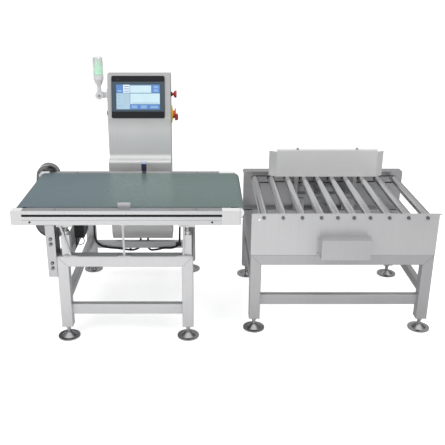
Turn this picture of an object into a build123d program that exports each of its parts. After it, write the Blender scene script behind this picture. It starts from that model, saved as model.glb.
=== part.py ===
from build123d import *
import math
import os

# Checkweigher in two free-standing sections, in millimetres, +Z up, +Y away from the operator.
# Left: belt weighing section with the control cabinet. Right: roller section with a reject pusher.
# The model is laid out from the weighing frame's front left foot corner, x = 0 and y = 0,
# and moved to the middle of its footprint when it is written.

# Square tube of both table frames
tube = 50.0
tube_wall = 2.0
tube_corner = 4.0
tie_depth = 30.0
leg_clearance = 60.0
end_plate = 6.0

# Weighing frame
weigh_width = 600.0
weigh_top = 410.0
weigh_tie_height = 50.0
weigh_tie_top = 166.0
side_tie_height = 40.0
side_tie_top = 208.0
rear_tie_height = 40.0
rear_tie_top = 177.0
rear_bay = 133.0
stub_height = 40.0
stub_top = 405.0

# Reject frame
section_gap = 258.0
reject_offset = 75.0
reject_width = 830.0
reject_track = 600.0
reject_top = 385.0
reject_tie_top = 175.0
reject_side_tie_top = 215.0

# Levelling feet
pad_radius = 50.0
pad_rim = 6.0
pad_cone_radius = 34.0
pad_neck_radius = 13.0
pad_height = 24.0
stud_radius = 8.0
stud_length = 100.0
nut_flats = 24.0
nut_height = 13.0

# Load posts and load cells under the bed
post_side = 38.0
post_height = 97.0
post_inset_left = 42.0
post_inset_right = 25.0
post_setback = 30.0
cell_radius = 17.0
cell_height = 16.0
cell_stack = 38.0
cell_lead_length = 12.0
cell_stud_radius = 6.0
cell_nut_flats = 19.0
cell_nut_height = 8.0
cross_bar_width = 70.0
cross_bar_height = 12.0

# Belt bed
bed_depth = 600.0
bed_front = 2.0
rail_depth = 40.0
rail_height = 65.0
rail_overhang_left = 137.0
rail_overhang_right = 126.0
rail_wall = 3.0
slot_mouth = 11.0
slot_pocket = 17.0
slot_lip = 3.0
slot_deep = 11.0
slot_drop = 22.0
end_block_left = 50.0
end_block_right = 82.0
end_block_corner = 10.0
end_block_front = 12.0
belt_thickness = 2.0
belt_edge_gap = 5.0
belt_above_rail = 3.0
running_gap = 0.3
bore_gap = 0.05
drive_axis_set = 15.0
idler_axis_set = 72.0
end_roller_radius = 25.0
end_roller_wall = 3.0
journal_radius = 8.5
journal_length = 25.0
bed_sheet = 2.5
bed_fold = 22.0
bed_roller_gap = 8.0

# Belt drive
pulley_pitch = 8.0
drive_teeth = 24
motor_teeth = 36
tooth_belt_width = 18.0
tooth_belt_thickness = 4.0
pulley_flange = 2.0
flange_lip = 3.5
guard_top_radius = 58.0
guard_bottom_radius = 90.0
guard_drop = 254.0
guard_wall = 2.5
guard_rim = 6.0
guard_depth = 38.0
guard_boss_radius = 26.0
guard_boss = 6.0
lid_sheet = 3.0
shaft_radius = 9.0
motor_flange = 90.0
motor_flange_thickness = 10.0
gearhead_radius = 43.0
gearhead_length = 52.0
motor_radius = 40.0
motor_length = 96.0
motor_cap = 12.0
terminal_box = 54.0

# Brackets on the weighing frame
strap_width = 9.0
strap_thickness = 4.0
strap_front = 4.0
strap_pad = 8.0
strap_pad_width = 22.0
strap_foot = 55.0
strap_left = (62.0, 25.0)
strap_middle_set = (-2.0, -4.0)
strap_right_set = (-42.0, -40.0)
bracket_flange = 40.0
bracket_web = 90.0
bracket_sheet = 4.0
bracket_bottom = 312.0
bracket_slot_heights = [366.0, 480.0]
bracket_slot_pitch = 24.0
bracket_tab = 34.0

# Sensors at the bed
reflector_centre = 302.0
reflector_width = 55.0
reflector_height = 26.0
sensor_centre = 344.0
sensor_width = 25.0
sensor_depth = 20.0
sensor_height = 45.0
sensor_lift = 8.0
sensor_corner = 3.0
sheet_bracket = 2.0

# Junction box over the left side beam, hung on a tongue
box_width = 46.0
box_length = 120.0
box_height = 70.0
box_front = 170.0
box_rise = 20.0
box_lid = 12.0
box_gland_rise = 24.0
tongue_sheet = 3.0
tongue_set = 25.0
tongue_reach = 40.0
gland_radius = 9.0
gland_length = 20.0
gland_flats = 22.0

# Held cables
cable_radius = 5.5
loop_lead_radius = 2.0
loop_radius = 19.0
loop_set = 22.0
loop_opening = 60.0

# Control cabinet
cabinet_width = 322.0
cabinet_left = 155.0
cabinet_rear_set = 89.0
cabinet_lower_depth = 171.0
cabinet_neck_depth = 124.0
cabinet_bottom = 208.0
cabinet_ledge = 662.0
cabinet_top = 1087.0
cabinet_sheet = 2.0
cabinet_foot_radius = 70.0
cabinet_ledge_radius = 15.0
cabinet_cove_radius = 24.0
head_lean = 15.0
cabinet_gland_set = 29.0
cabinet_gland_places = [293.0, 334.0]
cabinet_gland_hole = 1.0
stub_flange = 6.0
stub_flange_size = 70.0

# Rear door
door_margin = 6.0
door_opening_margin = 24.0
door_bottom_margin = 40.0
door_top_margin = 24.0
door_depth = 16.0
door_sheet = 2.0
door_seal_gap = 1.0
door_corner = 6.0
hinge_radius = 6.0
hinge_length = 60.0
hinge_pin_radius = 3.0
hinge_inset = 90.0
leaf_sheet = 3.0
leaf_width = 24.0
lock_radius = 11.0
lock_head = 5.0
lock_inset = 16.0
cam_length = 30.0
cam_width = 12.0
cam_sheet = 3.0

# Operator panel
panel_width = 271.0
panel_height = 213.0
panel_thickness = 7.0
panel_corner = 8.0
panel_back_margin = 8.0
panel_back_depth = 38.0
screen_width = 223.0
screen_height = 126.0
screen_recess = 1.5
screen_thickness = 3.0
panel_margin_top = 8.0
panel_margin_bottom = 5.7255
panel_set_left = 4.0
panel_hole_gap = 0.5

# Side controls on the cabinet's right side, and the cable port on its left
controls_set = 50.0
collar_radius = 10.0
collar_flange = 3.0
collar_length = 9.0
button_radius = 19.5
button_length = 15.0
button_stem_radius = 6.0
button_travel = 4.0
button_rest_gap = 1.5
stop_drop = 103.0
isolator_drop = 208.0
isolator_plate_height = 82.0
isolator_plate_depth = 65.0
isolator_plate_thickness = 6.0
isolator_boss_radius = 24.0
isolator_boss_length = 5.0
handle_hub_radius = 20.0
handle_hub_length = 8.0
handle_grip_length = 62.0
handle_grip_width = 13.0
handle_grip_depth = 17.0
handle_grip_nose = 5.0
side_port_drop = 195.0
side_port_radius = 11.0
side_port_length = 7.0
side_port_set = 30.0

# Signal lamp on its folding arm
lamp_out = 46.0
lamp_pivot_drop = 108.0
pivot_radius = 21.0
ear_thickness = 12.0
ear_gap = 0.4
pivot_pin_radius = 4.0
lamp_plate_height = 64.0
lamp_plate_depth = 42.0
lamp_plate_thickness = 5.0
stem_radius = 10.0
stem_rise = 55.0
lamp_foot_radius = 15.0
lamp_radius = 25.0
lamp_flare = 28.0
lamp_cup_height = 49.0
lens_height = 88.0
lens_wall = 2.5
lens_skirt = 6.0

# Reject rollers
side_sheet = 3.0
side_height = 195.0
front_hem = 12.0
rear_hem = 57.0
rear_lip = 20.0
rear_plate_rise = 4.0
rear_plate_overhang = 12.0
front_hem_overhang = 9.0
foot_fold = 40.0
roller_count = 10
roller_pitch_wide = 84.5
roller_pitch_narrow = 72.0
narrow_from = 3
narrow_to = 6
first_axle = 55.0
axle_drop = 17.0
axle_radius = 6.0
roller_radius = 19.0
roller_wall = 1.5
roller_front_gap = 9.0
roller_length = 560.0
roller_cap = 10.0
hub_radius = 16.0
hub_length = 33.0
drive_belt_width = 13.0
drive_belt_thickness = 3.0
drive_belt_pitch = 14.5
drive_belt_edge = 3.0
bolt_shank_radius = 4.0
bolt_shank_length = 16.0
bolt_flats = 13.0
bolt_head = 5.5
washer_radius = 8.0
washer_thickness = 1.6
side_hole_radius = 4.0
side_hole_drop = 10.0
side_hole_set = 20.0

# Reject pusher
pusher_width = 512.0
pusher_height = 141.0
pusher_above_rollers = 8.0
pusher_sheet = 3.0
pusher_bend = 8.0
pusher_hem = 22.0
wing_width = 36.0
wing_sweep = 25.0
wing_drop = 10.0
post_bar_width = 20.0
post_bar_depth = 8.0
post_cap_radius = 9.0
post_cap_height = 9.0
post_cap_pin = 5.0
post_foot_depth = 26.0
post_foot_height = 6.0
crosshead_margin = 24.0
crosshead_depth = 45.0
crosshead_height = 20.0
crosshead_rear_gap = 72.0
pusher_sheet_set = 8.0
rod_radius = 10.0
rod_spacing = 260.0
rod_rise = 45.0
bearing_width = 44.0
bearing_length = 70.0
bearing_below = 22.0
barrel_width = 60.0
barrel_height = 50.0
barrel_front = 38.0
barrel_rear_gap = 40.0
barrel_corner = 5.0
slider_width = 70.0
slider_length = 90.0
carriage_rise = 48.0
end_cap_length = 16.0
support_width = 44.0
support_length = 40.0
support_above_rod = 20.0
cylinder_foot_width = 80.0
cylinder_window_gap = 6.0

# Front cover over the cylinder's end
cover_width = 216.0
cover_height = 93.0
cover_depth = 60.0
cover_sheet = 2.0
cover_flange = 14.0

# Levels and places that follow
rail_left = -rail_overhang_left
rail_right = weigh_width + rail_overhang_right
rail_bottom = weigh_top + post_height + cell_stack + cross_bar_height
rail_top = rail_bottom + rail_height
bed_rear = bed_front + bed_depth
mid_beam_centre = bed_rear - rail_depth / 2
weigh_track = mid_beam_centre + tube / 2 + rear_bay
belt_top = rail_top + belt_above_rail
roller_axis_z = belt_top - belt_thickness - running_gap - end_roller_radius
drive_axis_x = rail_left - drive_axis_set
idler_axis_x = rail_right + idler_axis_set
belt_front = bed_front + rail_depth + belt_edge_gap
belt_rear = bed_rear - rail_depth - belt_edge_gap
post_centres_x = [post_inset_left, weigh_width - post_inset_right]
post_centres_y = [post_setback, mid_beam_centre]
cross_bar_bottom = rail_bottom - cross_bar_height
post_top = weigh_top + post_height
strap_middle = tuple(weigh_width / 2 + shift for shift in strap_middle_set)
strap_right = tuple(weigh_width + shift for shift in strap_right_set)
strap_places = [strap_left, strap_middle, strap_right]
guard_front = bed_rear + guard_boss - guard_rim
lid_front = bed_rear + guard_boss
guard_rear = guard_front + guard_depth + guard_rim
motor_axis_z = roller_axis_z - guard_drop
cabinet_right = cabinet_left + cabinet_width
cabinet_rear = weigh_track + cabinet_rear_set
cabinet_front = cabinet_rear - cabinet_lower_depth
neck_front = cabinet_rear - cabinet_neck_depth
head_length = panel_margin_bottom + panel_height + panel_margin_top
cabinet_bend = cabinet_top - head_length * math.cos(math.radians(head_lean))
cabinet_gland_y = cabinet_rear - cabinet_gland_set
controls_y = cabinet_rear - controls_set
panel_centre_x = cabinet_left + cabinet_width / 2 - panel_set_left
panel_high = head_length - panel_margin_top
panel_low = panel_high - panel_height
door_bottom = cabinet_bottom + door_bottom_margin
door_top = cabinet_top - door_top_margin
door_middle = (door_bottom + door_top) / 2
hinge_heights = [door_bottom + hinge_inset, door_middle, door_top - hinge_inset]
lock_height = door_middle
lock_x = cabinet_right - door_opening_margin - lock_inset
stop_height = cabinet_top - stop_drop
isolator_height = cabinet_top - isolator_drop
side_port_height = cabinet_top - side_port_drop
button_gap = button_travel + button_rest_gap
lamp_x = cabinet_left - lamp_out
lamp_pivot_height = cabinet_top - lamp_pivot_drop
stem_top = lamp_pivot_height + stem_rise
lamp_base_top = stem_top + lamp_cup_height
box_base = weigh_top + box_rise
box_gland_z = box_base + box_gland_rise
box_rear = box_front + box_length
box_middle_x = tube + box_width / 2
reject_left = weigh_width + section_gap
reject_right = reject_left + reject_width
reject_front = reject_offset
reject_rear = reject_front + reject_track + tube
side_top = reject_top + side_height
axle_height = side_top - axle_drop
roller_front = reject_front + side_sheet + roller_front_gap
roller_rear = roller_front + roller_length
hub_rear = roller_rear + hub_length
pusher_bottom = axle_height + roller_radius + pusher_above_rollers
pusher_top = pusher_bottom + pusher_height
carriage_front = reject_rear - side_sheet - crosshead_rear_gap - crosshead_depth
pusher_front_y = carriage_front + pusher_sheet_set
rod_height = reject_top + rod_rise
carriage_base = rod_height + carriage_rise
crosshead_top = carriage_base + crosshead_height
barrel_top = rod_height + barrel_height / 2
barrel_bottom = rod_height - barrel_height / 2


def roller_places():
    """Axle places along the bed; the middle rollers stand closer together."""
    places = [reject_left + first_axle]
    for index in range(1, roller_count):
        narrow = narrow_from < index <= narrow_to
        places.append(places[-1] + (roller_pitch_narrow if narrow else roller_pitch_wide))
    return places


axles_x = roller_places()
post_left_x = (axles_x[2] + axles_x[3]) / 2
post_right_x = (axles_x[6] + axles_x[7]) / 2
pusher_centre_x = (post_left_x + post_right_x) / 2
rods_x = [pusher_centre_x - rod_spacing / 2, pusher_centre_x + rod_spacing / 2]


# Building blocks


def block(x0, x1, y0, y1, z0, z1):
    """A box between two corners."""
    corner = (Align.MIN, Align.MIN, Align.MIN)
    return Pos(x0, y0, z0) * Box(x1 - x0, y1 - y0, z1 - z0, align=corner)


def rounded_block(x0, x1, y0, y1, z0, z1, along, radius):
    """A box whose four edges along one axis are rounded."""
    solid = block(x0, x1, y0, y1, z0, z1)
    return fillet(solid.edges().filter_by(along), radius)


def rod_x(y, z, x0, x1, radius):
    base = (Align.CENTER, Align.CENTER, Align.MIN)
    return Pos(x0, y, z) * Rot(0, 90, 0) * Cylinder(radius, x1 - x0, align=base)


def rod_y(x, z, y0, y1, radius):
    base = (Align.CENTER, Align.CENTER, Align.MIN)
    return Pos(x, y0, z) * Rot(-90, 0, 0) * Cylinder(radius, y1 - y0, align=base)


def rod_z(x, y, z0, z1, radius):
    base = (Align.CENTER, Align.CENTER, Align.MIN)
    return Pos(x, y, z0) * Cylinder(radius, z1 - z0, align=base)


def hexagon_z(x, y, z0, z1, flats):
    """A hexagonal prism with its axis upright."""
    profile = RegularPolygon(flats / 2, 6, major_radius=False)
    return Pos(x, y, z0) * extrude(profile, z1 - z0)


def hexagon_y(x, z, y0, y1, flats):
    profile = RegularPolygon(flats / 2, 6, major_radius=False)
    return Pos(x, y0, z) * Rot(-90, 0, 0) * extrude(profile, y1 - y0)


def prism_y(points, y0, y1):
    """An x-z outline pulled from y0 to y1."""
    outline = Polyline([(x, y0, z) for x, z in points], close=True)
    return extrude(make_face(outline), y1 - y0, dir=(0, 1, 0))


def prism_x(points, x0, x1):
    """A y-z outline pulled from x0 to x1."""
    outline = Polyline([(x0, y, z) for y, z in points], close=True)
    return extrude(make_face(outline), x1 - x0, dir=(1, 0, 0))


def prism_z(points, z0, z1):
    """An x-y outline pulled from z0 to z1."""
    outline = Polyline([(x, y, z0) for x, y in points], close=True)
    return extrude(make_face(outline), z1 - z0, dir=(0, 0, 1))


def turned_y(x, z, points):
    """A solid of revolution about a line along Y; points are (y, radius)."""
    outline = Polyline([(x + radius, y, z) for y, radius in points], close=True)
    return revolve(make_face(outline), axis=Axis((x, 0, z), (0, 1, 0)))


def turned_z(x, y, points):
    """A solid of revolution about an upright line; points are (radius, z)."""
    outline = Polyline([(x + radius, y, z) for radius, z in points], close=True)
    return revolve(make_face(outline), axis=Axis((x, y, 0), (0, 0, 1)))


def loop_solid(first, second, radius_first, radius_second, y0, y1):
    """The outline of a belt round two circles, pulled from y0 to y1; centres are (x, z)."""
    ax, az = first
    bx, bz = second
    span = math.hypot(bx - ax, bz - az)
    ux, uz = (bx - ax) / span, (bz - az) / span
    lean = (radius_first - radius_second) / span
    rise = math.sqrt(1 - lean * lean)
    left = (lean * ux - rise * uz, lean * uz + rise * ux)
    right = (lean * ux + rise * uz, lean * uz - rise * ux)
    first_left = (ax + radius_first * left[0], y0, az + radius_first * left[1])
    first_right = (ax + radius_first * right[0], y0, az + radius_first * right[1])
    second_left = (bx + radius_second * left[0], y0, bz + radius_second * left[1])
    second_right = (bx + radius_second * right[0], y0, bz + radius_second * right[1])
    first_far = (ax - radius_first * ux, y0, az - radius_first * uz)
    second_far = (bx + radius_second * ux, y0, bz + radius_second * uz)
    edges = [
        ThreePointArc(first_left, first_far, first_right),
        Line(first_right, second_right),
        ThreePointArc(second_right, second_far, second_left),
        Line(second_left, first_left),
    ]
    return extrude(make_face(edges), y1 - y0, dir=(0, 1, 0))


def hollow_bar(x0, x1, y0, y1, z0, z1, along):
    """A length of rectangular tube with rounded outer edges, open at both ends."""
    outer = rounded_block(x0, x1, y0, y1, z0, z1, along, tube_corner)
    wall = tube_wall
    grow = {Axis.X: (0, wall, wall), Axis.Y: (wall, 0, wall), Axis.Z: (wall, wall, 0)}
    dx, dy, dz = grow[along]
    return outer - block(x0 + dx, x1 - dx, y0 + dy, y1 - dy, z0 + dz, z1 - dz)


def joined(*solids):
    """Separate solids kept side by side in one sub-part."""
    bodies = []
    for solid in solids:
        bodies.extend(solid.solids())
    return Compound(children=bodies)


# Table frames


def mitre_cut(x_outer, x_inner, top, y0, y1, upper):
    """The corner half above or below the 45 degree joint of a leg and the front beam."""
    low = top - tube
    peak = (x_inner, top) if upper else (x_outer, low)
    return prism_y([(x_outer, top), (x_inner, low), peak], y0 - 1, y1 + 1)


def front_portal(x0, x1, y0, top):
    """Two front legs and the beam over them, cut at 45 degrees where they meet."""
    y1 = y0 + tube
    legs = []
    beam = hollow_bar(x0, x1, y0, y1, top - tube, top, Axis.X)
    for outer, inner in ((x0, x0 + tube), (x1, x1 - tube)):
        low, high = min(outer, inner), max(outer, inner)
        leg = hollow_bar(low, high, y0, y1, leg_clearance + end_plate, top, Axis.Z)
        legs.append(leg - mitre_cut(outer, inner, top, y0, y1, True))
        beam = beam - mitre_cut(outer, inner, top, y0, y1, False)
    return legs + [beam]


def foot_plates(places):
    """The plates that close the legs, each with the hole for its levelling stud."""
    plates = []
    half = tube / 2
    for x, y in places:
        top = leg_clearance + end_plate
        plate = block(x - half, x + half, y - half, y + half, leg_clearance, top)
        plates.append(plate - rod_z(x, y, leg_clearance, top, stud_radius))
    return plates


def weigh_feet_places():
    half = tube / 2
    xs = (half, weigh_width - half)
    return [(x, y) for y in (half, half + weigh_track) for x in xs]


def reject_feet_places():
    half = tube / 2
    xs = (reject_left + half, reject_right - half)
    ys = (reject_front + half, reject_front + half + reject_track)
    return [(x, y) for y in ys for x in xs]


def weigh_frame():
    pieces = front_portal(0, weigh_width, 0, weigh_top)
    low = weigh_top - tube
    rear = weigh_track
    for x0 in (0, weigh_width - tube):
        x1 = x0 + tube
        leg_base = leg_clearance + end_plate
        pieces.append(hollow_bar(x0, x1, rear, rear + tube, leg_base, weigh_top, Axis.Z))
        pieces.append(hollow_bar(x0, x1, tube, rear, low, weigh_top, Axis.Y))
        inset = (tube - tie_depth) / 2
        tie_low = side_tie_top - side_tie_height
        tie = (x0 + inset, x1 - inset, tube, rear, tie_low, side_tie_top)
        pieces.append(hollow_bar(*tie, Axis.Y))
    inner, outer = tube, weigh_width - tube
    mid = mid_beam_centre - tube / 2
    pieces.append(hollow_bar(inner, outer, mid, mid + tube, low, weigh_top, Axis.X))
    tie_low = weigh_tie_top - weigh_tie_height
    pieces.append(hollow_bar(inner, outer, tube - tie_depth, tube, tie_low, weigh_tie_top, Axis.X))
    tie_low = rear_tie_top - rear_tie_height
    pieces.append(hollow_bar(inner, outer, rear, rear + tie_depth, tie_low, rear_tie_top, Axis.X))
    pieces.extend(cabinet_stubs())
    pieces.extend(load_posts())
    pieces.extend(foot_plates(weigh_feet_places()))
    return joined(*pieces)


def cabinet_stubs():
    """Short tubes from the rear legs to the flanges that hold the cabinet's sides."""
    pieces = []
    y0 = weigh_track + (tube - stub_height) / 2
    y1 = y0 + stub_height
    z0, z1 = stub_top - stub_height, stub_top
    middle_z = (z0 + z1) / 2
    for leg, side, turn in ((tube, cabinet_left, 1), (weigh_width - tube, cabinet_right, -1)):
        face = side - turn * stub_flange
        pieces.append(hollow_bar(min(leg, face), max(leg, face), y0, y1, z0, z1, Axis.X))
        half = stub_flange_size / 2
        y_mid = (y0 + y1) / 2
        flange = (min(face, side), max(face, side), y_mid - half, y_mid + half)
        pieces.append(block(*flange, middle_z - half, middle_z + half))
    return pieces


def reject_frame():
    pieces = front_portal(reject_left, reject_right, reject_front, reject_top)
    low = reject_top - tube
    rear = reject_rear - tube
    for x0 in (reject_left, reject_right - tube):
        x1 = x0 + tube
        leg_base = leg_clearance + end_plate
        pieces.append(hollow_bar(x0, x1, rear, reject_rear, leg_base, reject_top, Axis.Z))
        pieces.append(hollow_bar(x0, x1, reject_front + tube, rear, low, reject_top, Axis.Y))
        inset = (tube - tie_depth) / 2
        tie_low = reject_side_tie_top - side_tie_height
        tie = (x0 + inset, x1 - inset, reject_front + tube, rear, tie_low, reject_side_tie_top)
        pieces.append(hollow_bar(*tie, Axis.Y))
    inner, outer = reject_left + tube, reject_right - tube
    pieces.append(hollow_bar(inner, outer, rear, reject_rear, low, reject_top, Axis.X))
    tie_low = reject_tie_top - weigh_tie_height
    front = reject_front + tube - tie_depth
    tie = (inner, outer, front, reject_front + tube, tie_low, reject_tie_top)
    pieces.append(hollow_bar(*tie, Axis.X))
    pieces.extend(foot_plates(reject_feet_places()))
    return joined(*pieces)


def foot_pads():
    """Round pads with a rolled rim and a cone up to the ball neck."""
    pads = []
    for x, y in weigh_feet_places() + reject_feet_places():
        profile = [
            (0, 0),
            (pad_radius, 0),
            (pad_radius, pad_rim),
            (pad_cone_radius, pad_rim),
            (pad_neck_radius, pad_height),
            (0, pad_height),
        ]
        pads.append(turned_z(x, y, profile))
    return joined(*pads)


def foot_studs():
    """Threaded studs through the end plates, each with its lock nut."""
    studs = []
    for x, y in weigh_feet_places() + reject_feet_places():
        stud = rod_z(x, y, pad_height, pad_height + stud_length, stud_radius)
        nut = hexagon_z(x, y, leg_clearance - nut_height, leg_clearance, nut_flats)
        studs.append(stud + nut)
    return joined(*studs)


# Load posts, load cells and bed


def load_posts():
    """Square stub posts on the frame, closed by a cap plate."""
    posts = []
    half = post_side / 2
    for x in post_centres_x:
        for y in post_centres_y:
            post = (x - half, x + half, y - half, y + half, weigh_top, post_top)
            shaped = rounded_block(*post, Axis.Z, tube_corner / 2)
            wall = tube_wall
            hollow = (x - half + wall, x + half - wall, y - half + wall, y + half - wall)
            posts.append(shaped - block(*hollow, weigh_top, post_top - end_plate))
    return posts


def load_cells():
    """Canister load cells with an adjuster stud and two lock nuts, up to the cross bars."""
    cells = []
    for x in post_centres_x:
        for y in post_centres_y:
            top = post_top + cell_height
            can = rod_z(x, y, post_top, top, cell_radius)
            stud = rod_z(x, y, top, cross_bar_bottom, cell_stud_radius)
            low_nut = hexagon_z(x, y, top, top + cell_nut_height, cell_nut_flats)
            high = cross_bar_bottom - cell_nut_height
            high_nut = hexagon_z(x, y, high, cross_bar_bottom, cell_nut_flats)
            cells.append(can + stud + low_nut + high_nut)
    return joined(*cells)


def bed_cross_bars():
    bars = []
    half = cross_bar_width / 2
    for x in post_centres_x:
        y0 = bed_front + strap_pad
        bars.append(block(x - half, x + half, y0, bed_rear, cross_bar_bottom, rail_bottom))
    return joined(*bars)


def rail_outline():
    """Half-open extrusion outline as (depth from the outer face, height from the underside)."""
    middle = rail_height - slot_drop
    mouth, pocket = slot_mouth / 2, slot_pocket / 2
    return [
        (0, 0),
        (rail_depth, 0),
        (rail_depth, rail_height),
        (0, rail_height),
        (0, middle + mouth),
        (slot_lip, middle + mouth),
        (slot_lip, middle + pocket),
        (slot_deep, middle + pocket),
        (slot_deep, middle - pocket),
        (slot_lip, middle - pocket),
        (slot_lip, middle - mouth),
        (0, middle - mouth),
    ]


def bed_rail(outer_face, turn):
    """One T-slot rail with its inner chamber; turn is 1 for the front rail, -1 for the rear."""
    outline = [(outer_face + turn * d, rail_bottom + h) for d, h in rail_outline()]
    rail = prism_x(outline, rail_left, rail_right)
    near = outer_face + turn * (slot_deep + rail_wall)
    far = outer_face + turn * (rail_depth - rail_wall)
    chamber = (rail_left, rail_right, min(near, far), max(near, far))
    rail = rail - block(*chamber, rail_bottom + rail_wall, rail_top - rail_wall)
    groove_top = rail_bottom + rail_height - slot_drop - slot_pocket
    low = (rail_left, rail_right, outer_face - 1.5, outer_face + 1.5, groove_top - 5, groove_top)
    return rail - block(*low)


def bed_rails():
    return joined(bed_rail(bed_front, 1), bed_rail(bed_rear, -1))


def end_block(x0, x1, y0, y1, outer_x, outer_y):
    """A bearing block at a rail's end, rounded at its outer corner and over its outer end."""
    solid = block(x0, x1, y0, y1, rail_bottom, rail_top)
    corner = []
    for edge in solid.edges().filter_by(Axis.Z):
        if abs(edge.center().X - outer_x) < 1 and abs(edge.center().Y - outer_y) < 1:
            corner.append(edge)
    for edge in solid.edges().filter_by(Axis.Y):
        if abs(edge.center().X - outer_x) < 1 and abs(edge.center().Z - rail_top) < 1:
            corner.append(edge)
    return fillet(corner, end_block_corner)


def rail_end_blocks():
    """Four blocks; only the drive roller's rear journal passes right through its block."""
    blocks = []
    left, right = rail_left - end_block_left, rail_right + end_block_right
    skin = end_block_front
    for y0, y1, outer in (
        (bed_front, bed_front + rail_depth, bed_front),
        (bed_rear - rail_depth, bed_rear, bed_rear),
    ):
        at_front = outer == bed_front
        bore_low, bore_high = (y0 + skin, y1 + 1) if at_front else (y0 - 1, y1 - skin)
        drive_high = bore_high if at_front else y1 + 1
        reach = journal_radius + bore_gap
        block_left = end_block(left, rail_left, y0, y1, left, outer)
        blocks.append(block_left - rod_y(drive_axis_x, roller_axis_z, bore_low, drive_high, reach))
        block_right = end_block(rail_right, right, y0, y1, right, outer)
        blocks.append(block_right - rod_y(idler_axis_x, roller_axis_z, bore_low, bore_high, reach))
    return joined(*blocks)


def bed_plate():
    """Slider plate under the belt's top run, folded down along both rails."""
    reach = end_roller_radius + bed_roller_gap
    x0, x1 = drive_axis_x + reach, idler_axis_x - reach
    y0, y1 = bed_front + rail_depth, bed_rear - rail_depth
    top = belt_top - belt_thickness - running_gap
    sheet = bed_sheet
    outline = [
        (y0, top - bed_fold),
        (y0 + sheet, top - bed_fold),
        (y0 + sheet, top - sheet),
        (y1 - sheet, top - sheet),
        (y1 - sheet, top - bed_fold),
        (y1, top - bed_fold),
        (y1, top),
        (y0, top),
    ]
    return prism_x(outline, x0, x1)


def conveyor_belt():
    axes = ((drive_axis_x, roller_axis_z), (idler_axis_x, roller_axis_z))
    inner = end_roller_radius + running_gap
    outer = inner + belt_thickness
    band = loop_solid(*axes, outer, outer, belt_front, belt_rear)
    return band - loop_solid(*axes, inner, inner, belt_front - 1, belt_rear + 1)


def end_roller(axis_x, rear_stub):
    """A tube with pressed-in ends and journals that run in the end blocks."""
    y0, y1 = belt_front, belt_rear
    front, rear = bed_front + rail_depth - journal_length, bed_rear + rear_stub
    cap = end_roller_radius - end_roller_wall
    outer = [
        (front, 0),
        (front, journal_radius),
        (y0, journal_radius),
        (y0, end_roller_radius),
        (y1, end_roller_radius),
        (y1, journal_radius),
        (rear, journal_radius),
        (rear, 0),
    ]
    solid = turned_y(axis_x, roller_axis_z, outer)
    wall = roller_cap
    cavity = [
        (y0 + wall, journal_radius),
        (y0 + wall, cap),
        (y1 - wall, cap),
        (y1 - wall, journal_radius),
    ]
    return solid - turned_y(axis_x, roller_axis_z, cavity)


# Belt drive at the infeed end


def pulley_radius(teeth):
    return teeth * pulley_pitch / (2 * math.pi)


belt_start = lid_front + lid_sheet + pulley_flange + 4.0
belt_end = belt_start + tooth_belt_width


def pulley(axis_x, axis_z, teeth, bore):
    """A flanged pulley with a hub bore."""
    body = pulley_radius(teeth)
    lip = body + flange_lip
    y0, y1 = belt_start - 1, belt_end + 1
    outline = [
        (y0 - pulley_flange, bore),
        (y0 - pulley_flange, lip),
        (y0, lip),
        (y0, body),
        (y1, body),
        (y1, lip),
        (y1 + pulley_flange, lip),
        (y1 + pulley_flange, bore),
    ]
    return turned_y(axis_x, axis_z, outline)


def drive_pulley():
    return pulley(drive_axis_x, roller_axis_z, drive_teeth, journal_radius)


def motor_pulley():
    """The larger pulley with the gearhead's shaft through it."""
    wheel = pulley(drive_axis_x, motor_axis_z, motor_teeth, shaft_radius)
    shaft = rod_y(drive_axis_x, motor_axis_z, belt_start - 3, guard_rear, shaft_radius)
    return joined(wheel, shaft)


def timing_belt():
    axes = ((drive_axis_x, roller_axis_z), (drive_axis_x, motor_axis_z))
    top = pulley_radius(drive_teeth) + running_gap
    low = pulley_radius(motor_teeth) + running_gap
    thick = tooth_belt_thickness
    band = loop_solid(*axes, top + thick, low + thick, belt_start, belt_end)
    return band - loop_solid(*axes, top, low, belt_start - 1, belt_end + 1)


def guard_housing():
    """Egg-shaped pan with its open side to the front, its rim proud of the lid."""
    axes = ((drive_axis_x, roller_axis_z), (drive_axis_x, motor_axis_z))
    pan = loop_solid(*axes, guard_top_radius, guard_bottom_radius, guard_front, guard_rear)
    top, low = guard_top_radius - guard_wall, guard_bottom_radius - guard_wall
    pan = pan - loop_solid(*axes, top, low, guard_front - 1, guard_rear - guard_wall)
    hole = shaft_radius + 2
    return pan - rod_y(drive_axis_x, motor_axis_z, guard_front, guard_rear, hole)


def guard_lid():
    """Inset lid, spaced off the end block by a round boss."""
    axes = ((drive_axis_x, roller_axis_z), (drive_axis_x, motor_axis_z))
    top, low = guard_top_radius - guard_wall, guard_bottom_radius - guard_wall
    lid = loop_solid(*axes, top, low, lid_front, lid_front + lid_sheet)
    boss = rod_y(drive_axis_x, roller_axis_z, bed_rear, lid_front, guard_boss_radius)
    hole = rod_y(drive_axis_x, roller_axis_z, bed_rear - 1, lid_front + lid_sheet + 1, journal_radius + 1)
    return lid + boss - hole


def drive_motor():
    """Gear motor on the back of the guard: square flange, gearhead, motor, end cap, terminal box."""
    x, z = drive_axis_x, motor_axis_z
    half = motor_flange / 2
    y = guard_rear
    flange_end = y + motor_flange_thickness
    flange = rounded_block(x - half, x + half, y, flange_end, z - half, z + half, Axis.Y, 8)
    flange = flange - rod_y(x, z, y, y + 3, shaft_radius + 2)
    head_end = flange_end + gearhead_length
    motor_end = head_end + motor_length
    outline = [
        (flange_end, 0),
        (flange_end, gearhead_radius),
        (head_end, gearhead_radius),
        (head_end, motor_radius),
        (motor_end, motor_radius),
        (motor_end + motor_cap, motor_radius - motor_cap),
        (motor_end + motor_cap, 0),
    ]
    body = turned_y(x, z, outline)
    reach = motor_radius + 14
    side = terminal_box / 2
    box = (x - side, x + side, head_end + 10, head_end + 10 + terminal_box, z, z + reach)
    return flange + body + block(*box)


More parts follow.
